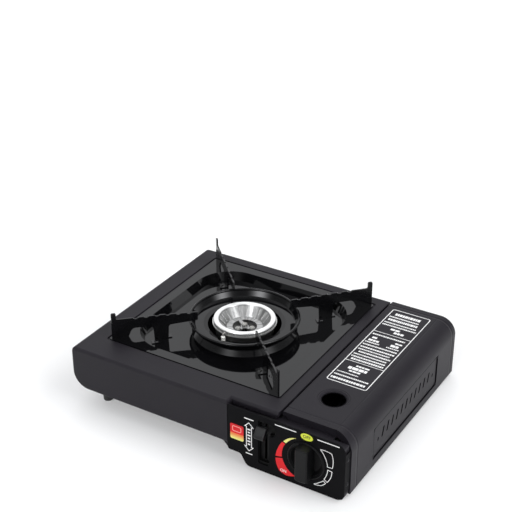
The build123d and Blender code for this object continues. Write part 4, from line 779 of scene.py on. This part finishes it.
class STOVE_OT_panel_print(FinishOperator):
    """Printed marks round the knob and beside the lever"""
    bl_idname = "stove.panel_print"
    bl_label = "Panel print"

    def make(self, scene):
        settings = scene.stove_print
        depth, line = settings.ink, settings.line
        white = ink("white_ink", settings.white)
        red = ink("red_ink", settings.red)
        yellow = ink("yellow_ink", settings.yellow)
        lime = ink("lime_ink", settings.lime)

        def add(name, parts, material):
            points, faces = join_arrays(parts)
            return surface(name, points, faces, material, "stove")

        bands = [panel_ribbon(*band_edges(knots), depth) for knots in (MIDDLE_FLAME, FULL_FLAME)]
        add("flame_band", bands, red)
        add("low_flame_band", [panel_ribbon(*band_edges(LOW_FLAME), depth)], yellow)
        marks = []
        for knots in FIELDS:
            inner, outer = band_edges(knots, 9)
            outline = np.concatenate([inner, outer[::-1]])
            marks.append(panel_ribbon(*outline_edges(outline, line), depth, closed=True))
        top = KNOB_AXIS.z + BAR_RISE * MM
        for side in (-1, 1):
            x0, x1 = sorted(KNOB_AXIS.x + side * MM * reach for reach in BAR_REACH)
            marks.append(panel_bar(x0, x1, top, BAR_WIDTH * MM, depth))
        marks += self.arrow(depth, line)
        add("white_marks", marks, white)
        add("off_field", [self.oval(depth)], lime)
        dark = ink("dark_ink", DARK_PRINT)
        front = PANEL_FACE_Y - depth * 1.6
        off_place = Vector((KNOB_AXIS.x, front, KNOB_AXIS.z + OFF_RISE * MM))
        letters("off_letters", "OFF", OFF_SIZE * MM, off_place, dark, "stove")
        on_x, on_z = ON_PLACE
        on_place = Vector((KNOB_AXIS.x + on_x * MM, front, KNOB_AXIS.z + on_z * MM))
        letters("on_letters", "ON", ON_SIZE * MM, on_place, white, "stove")

    def oval(self, depth):
        """Oval field: x = a cos t, z = b sin t, drawn as a band between lower and upper half."""
        t = np.linspace(math.pi, 0, 25)
        x = KNOB_AXIS.x + OFF_HALF[0] * MM * np.cos(t)
        z = KNOB_AXIS.z + OFF_RISE * MM
        half = OFF_HALF[1] * MM * np.sin(t)
        upper, lower = np.stack([x, z + half], 1), np.stack([x, z - half], 1)
        return panel_ribbon(upper, lower, depth * 0.9)

    def arrow(self, depth, line):
        """Outline of a double arrow beside the lever, with a bar above and below."""
        x, middle_z = LEVER_CAP.x + ARROW_MIDDLE[0] * MM, KNOB_AXIS.z + ARROW_MIDDLE[1] * MM
        tip, neck, shaft, head = 17.5 * MM, 12.5 * MM, 3.0 * MM, 5.0 * MM
        right = [(0, tip), (head, neck), (shaft, neck), (shaft, -neck), (head, -neck), (0, -tip)]
        left = [(-a, b) for a, b in right[-2:0:-1]]
        outline = np.array(right + left) + np.array([x, middle_z])
        parts = [panel_ribbon(*outline_edges(outline, line * 1.3), depth, closed=True)]
        for z, half in ((tip + 4.6 * MM, 5.6 * MM), (-tip - 3.6 * MM, 4.0 * MM)):
            parts.append(panel_bar(x - half, x + half, middle_z + z, 1.2 * MM, depth))
        for i in range(6):
            z = middle_z + (i - 2.5) * 3.7 * MM
            half = (1.4 + 0.5 * (i % 2)) * MM
            parts.append(panel_bar(x - half, x + half, z, 1.7 * MM, depth))
        return parts


class STOVE_OT_sticker(FinishOperator):
    """Plain two-tone sticker at the panel's left end"""
    bl_idname = "stove.sticker"
    bl_label = "Sticker"

    def make(self, scene):
        settings = scene.stove_print
        x0, x1 = (KNOB_AXIS.x + x * MM for x in STICKER_X)
        low, split, high = (KNOB_AXIS.z + z * MM for z in STICKER_Z)
        depth = settings.ink * 1.4
        red = faded_ink("sticker_red", settings.red, shade(settings.red, 0.85), split, high)
        warm = faded_ink("sticker_warm", settings.yellow, WARM_PRINT, low, split)

        def field(name, z0, z1, radius, lift, material):
            lower, upper = rounded_halves(x0, x1, z0, z1, radius)
            points, faces = panel_ribbon(upper, lower, lift)
            surface(name, points, faces, material, "stove")

        field("sticker_low", low, split + 1.5 * MM, 2.0 * MM, depth, warm)
        field("sticker_high", split, high, 1.6 * MM, depth * 1.2, red)
        inset = 2.6 * MM
        outline = rounded_outline(x0 + 2.8 * MM, x1 - 3.2 * MM, split + inset, high - inset,
                                  1.5 * MM)
        edges = outline_edges(outline[::-1], settings.line * 1.3)
        points, faces = panel_ribbon(*edges, depth * 1.7, closed=True)
        pale = ink("sticker_line", STICKER_LINE)
        surface("sticker_frame", points, faces, pale, "stove")


# Plain block rows of the lid's label: share of its length, height and mean block in
# millimetres, start and end as shares of its width
LABEL_ROWS = (
    (0.036, 3.4, 2.6, 0.05, 0.95), (0.078, 2.2, 1.6, 0.05, 0.95), (0.116, 1.6, 1.3, 0.06, 0.60),
    (0.152, 2.6, 4.6, 0.30, 0.62), (0.186, 4.6, 5.4, 0.22, 0.78), (0.222, 2.6, 4.2, 0.36, 0.74),
    (0.290, 3.0, 1.7, 0.10, 0.95), (0.322, 2.4, 1.4, 0.05, 0.95), (0.355, 2.2, 1.5, 0.05, 0.92),
    (0.389, 2.6, 1.6, 0.12, 0.95), (0.422, 2.2, 1.3, 0.05, 0.88), (0.455, 2.6, 1.8, 0.05, 0.95),
    (0.492, 2.4, 1.5, 0.05, 0.95), (0.527, 2.2, 1.7, 0.05, 0.42), (0.527, 2.0, 1.5, 0.60, 0.95),
    (0.557, 3.6, 4.4, 0.08, 0.40), (0.560, 4.2, 3.8, 0.66, 0.92), (0.594, 3.4, 4.8, 0.12, 0.36),
    (0.597, 2.6, 3.4, 0.72, 0.90), (0.640, 2.4, 1.6, 0.05, 0.95), (0.716, 3.8, 4.6, 0.48, 0.80),
    (0.750, 3.4, 4.2, 0.34, 0.62), (0.790, 2.4, 1.5, 0.05, 0.95), (0.822, 2.2, 1.4, 0.05, 0.92),
    (0.864, 4.2, 2.4, 0.08, 0.92), (0.903, 2.4, 1.5, 0.05, 0.88), (0.946, 4.8, 2.7, 0.14, 0.86),
)
LABEL_LINES = (0.262, 0.678)


class STOVE_OT_label(FinishOperator):
    """Label field on the lid: a framed field with plain blocks and no words"""
    bl_idname = "stove.label"
    bl_label = "Lid label"

    def make(self, scene):
        settings = scene.stove_print
        width, length = (size * MM for size in LABEL_SIZE)
        x0, y0 = (low + start * MM for low, start in zip(LID_LOW, LABEL_CORNER))
        depth = settings.ink
        material = ink("label_ink", shade(settings.white, 0.95))
        outline = rounded_outline(x0, x0 + width, y0, y0 + length, 2.2 * MM)
        parts = [self.line(*outline_edges(outline, settings.line * 1.4), depth, True)]
        for share in LABEL_LINES:
            y = y0 + length * share
            parts.append(self.bar(x0, x0 + width, y, settings.line * 1.1, depth))
        for number, (share, height, mean, start, end) in enumerate(LABEL_ROWS):
            y = y0 + length * share
            for a, b in self.blocks(number, mean * settings.words, (end - start) * width / MM):
                left = x0 + start * width
                parts.append(self.bar(left + a * MM, left + b * MM, y, height * MM, depth))
        points, faces = join_arrays(parts)
        surface("label_print", points, faces, material, "lid")

    @staticmethod
    def blocks(number, mean, span):
        """Start and end of a row's blocks: lengths vary by a fixed sine sequence."""
        count = int(span / (mean * 0.75)) + 2
        turns = np.sin(np.arange(count) * 12.9898 + number * 78.233) * 43758.5453
        lengths = mean * (0.55 + 0.9 * (turns - np.floor(turns)))
        gap = 0.42 + 0.06 * mean
        ends = np.cumsum(lengths + gap) - gap
        inside = ends <= span
        return zip((ends - lengths)[inside], ends[inside])

    def line(self, first, second, depth, closed):
        """Printed band on the lid between two lines of plane points."""
        drop = np.array([0.0, 0.0, -depth * 0.9])
        top_first = on_lid(first[:, 0], first[:, 1], depth)
        top_second = on_lid(second[:, 0], second[:, 1], depth)
        return ribbon_arrays(top_second, top_first, drop, closed)

    def bar(self, x0, x1, y, width, depth):
        low = np.array([[x0, y - width / 2], [x1, y - width / 2]])
        high = np.array([[x0, y + width / 2], [x1, y + width / 2]])
        return self.line(high, low, depth, False)


class STOVE_OT_stage(FinishOperator):
    """Floor, world, lamp and camera"""
    bl_idname = "stove.stage"
    bl_label = "Stage"

    def make(self, scene):
        stage = scene.stove_stage
        scene.view_settings.view_transform = "Standard"
        self.floor(stage)
        self.world(scene, stage)
        self.lamp(scene, stage)
        self.camera(scene, stage)

    def floor(self, stage):
        """Square plane just below the feet: point(u, v) = (reach u, reach v, -drop)."""
        corners = np.array([[-1, -1], [1, -1], [1, 1], [-1, 1]]) * FLOOR_REACH
        points = np.column_stack([corners, np.full(4, -FLOOR_DROP)])
        mesh = bpy.data.meshes.new("floor")
        mesh.from_pydata(points.tolist(), [], [[0, 1, 2, 3]])
        floor = bpy.data.objects.new("floor", mesh)
        bpy.context.scene.collection.objects.link(floor)
        recipe = Recipe("floor_paper")
        tone = recipe.noise(recipe.place(), 3.0, 2.0)
        paper = recipe.node("ShaderNodeBsdfDiffuse", None, {
            "Color": recipe.mix(tone, shade(stage.floor, 0.99), stage.floor)})
        lift = recipe.node("ShaderNodeEmission", None, {
            "Color": WHITE, "Strength": self.seen(recipe) * stage.lift})
        recipe.node_output(recipe.node("ShaderNodeAddShader", None, {0: paper, 1: lift}))
        mesh.materials.append(recipe.material)

    def rays(self, recipe):
        """1 for rays from the camera, and 1 for reflected and refracted ones, else 0."""
        kinds = ("Is Camera Ray", "Is Glossy Ray", "Is Transmission Ray")
        rays = recipe.node("ShaderNodeLightPath").socket.node
        first, second, third = [Signal(recipe, rays.outputs[kind]) for kind in kinds]
        return first, second.math("MAXIMUM", third)

    def seen(self, recipe):
        """1 for rays that show the background, else 0."""
        camera, others = self.rays(recipe)
        return camera.math("MAXIMUM", others)

    def world(self, scene, stage):
        """Even sky with soft lobes: strength = sky + sum of a max(0, d . axis) ^ n. The camera
        sees it white, and so do reflected rays near the horizon."""
        recipe = Recipe("studio", "worlds")
        direction = recipe.node("ShaderNodeTexCoord", output="Generated")
        strength = stage.sky
        settings = {"operation": "DOT_PRODUCT"}
        for axis, sharpness, name in LOBES:
            inputs = {0: direction, 1: Vector(axis).normalized()}
            facing = recipe.node("ShaderNodeVectorMath", settings, inputs, output="Value")
            lobe = facing.math("MAXIMUM", 0.0).power(sharpness)
            strength = lobe * getattr(stage, name) + strength
        camera, others = self.rays(recipe)
        low = 1.0 - recipe.axes(direction)[2].step(*HORIZON)
        white = camera.math("MAXIMUM", others * low)
        strength = strength + white * (1.0 - strength)
        inputs = {"Color": SKY_TINT, "Strength": strength}
        background = recipe.node("ShaderNodeBackground", None, inputs)
        recipe.node_output(background, "ShaderNodeOutputWorld")
        scene.world = recipe.material

    def lamp(self, scene, stage):
        """Broad far lamp at the right, a little to the rear, so the shadow lies at the left. It
        stays out of reflections, where its round disc would show."""
        light = bpy.data.lights.new("lamp", "SUN")
        light.energy = stage.lamp
        light.angle = math.radians(LAMP_SPREAD)
        lamp = bpy.data.objects.new("lamp", light)
        lamp.rotation_euler = LAMP_TOWARDS.to_track_quat("Z", "Y").to_euler()
        lamp.visible_glossy = False
        bpy.context.scene.collection.objects.link(lamp)

    def camera(self, scene, stage):
        """Camera at its azimuth and elevation, set by its three axes."""
        lens = bpy.data.cameras.new("camera")
        lens.lens = stage.lens
        lens.sensor_width = SENSOR
        lens.sensor_fit = "HORIZONTAL"
        lens.clip_start, lens.clip_end = CLIP
        camera = bpy.data.objects.new("camera", lens)
        turn, rise = math.radians(CAMERA_AZIMUTH), math.radians(CAMERA_ELEVATION)
        back = Vector((math.sin(turn) * math.cos(rise), -math.cos(turn) * math.cos(rise),
                       math.sin(rise)))
        right = Vector((math.cos(turn), math.sin(turn), 0.0))
        up = back.cross(right)
        pose = Matrix((right, up, back)).transposed().to_4x4()
        camera.matrix_world = Matrix.Translation(CAMERA_PLACE) @ pose
        bpy.context.scene.collection.objects.link(camera)
        scene.camera = camera


MAKERS = (
    STOVE_OT_body, STOVE_OT_tray, STOVE_OT_burner, STOVE_OT_inside, STOVE_OT_controls,
    STOVE_OT_panel_print, STOVE_OT_sticker, STOVE_OT_label, STOVE_OT_stage,
)
GROUPS = {
    "stove_paint": StovePaint, "stove_print": StovePrint, "stove_metal": StoveMetal,
    "stove_stage": StoveStage,
}


class STOVE_PT_finish(bpy.types.Panel):
    """Lists the makers and their settings"""
    bl_idname = "STOVE_PT_finish"
    bl_label = "Cassette stove"
    bl_space_type = "VIEW_3D"
    bl_region_type = "UI"
    bl_category = "Stove"

    def draw(self, context):
        for name, group in GROUPS.items():
            box = self.layout.box()
            box.label(text=group.__doc__)
            for key in group.__annotations__:
                box.prop(getattr(context.scene, name), key)
        for maker in MAKERS:
            self.layout.operator(maker.bl_idname)


def register():
    for group in GROUPS.values():
        bpy.utils.register_class(group)
    for maker in MAKERS:
        bpy.utils.register_class(maker)
    bpy.utils.register_class(STOVE_PT_finish)
    for name, group in GROUPS.items():
        setattr(bpy.types.Scene, name, PointerProperty(type=group))


def unregister():
    for name in GROUPS:
        delattr(bpy.types.Scene, name)
    for known in (STOVE_PT_finish, *MAKERS, *GROUPS.values()):
        bpy.utils.unregister_class(known)


def main():
    register()
    for maker in MAKERS:
        group, action = maker.bl_idname.split(".")
        getattr(getattr(bpy.ops, group), action)()


if __name__ == "__main__":
    main()
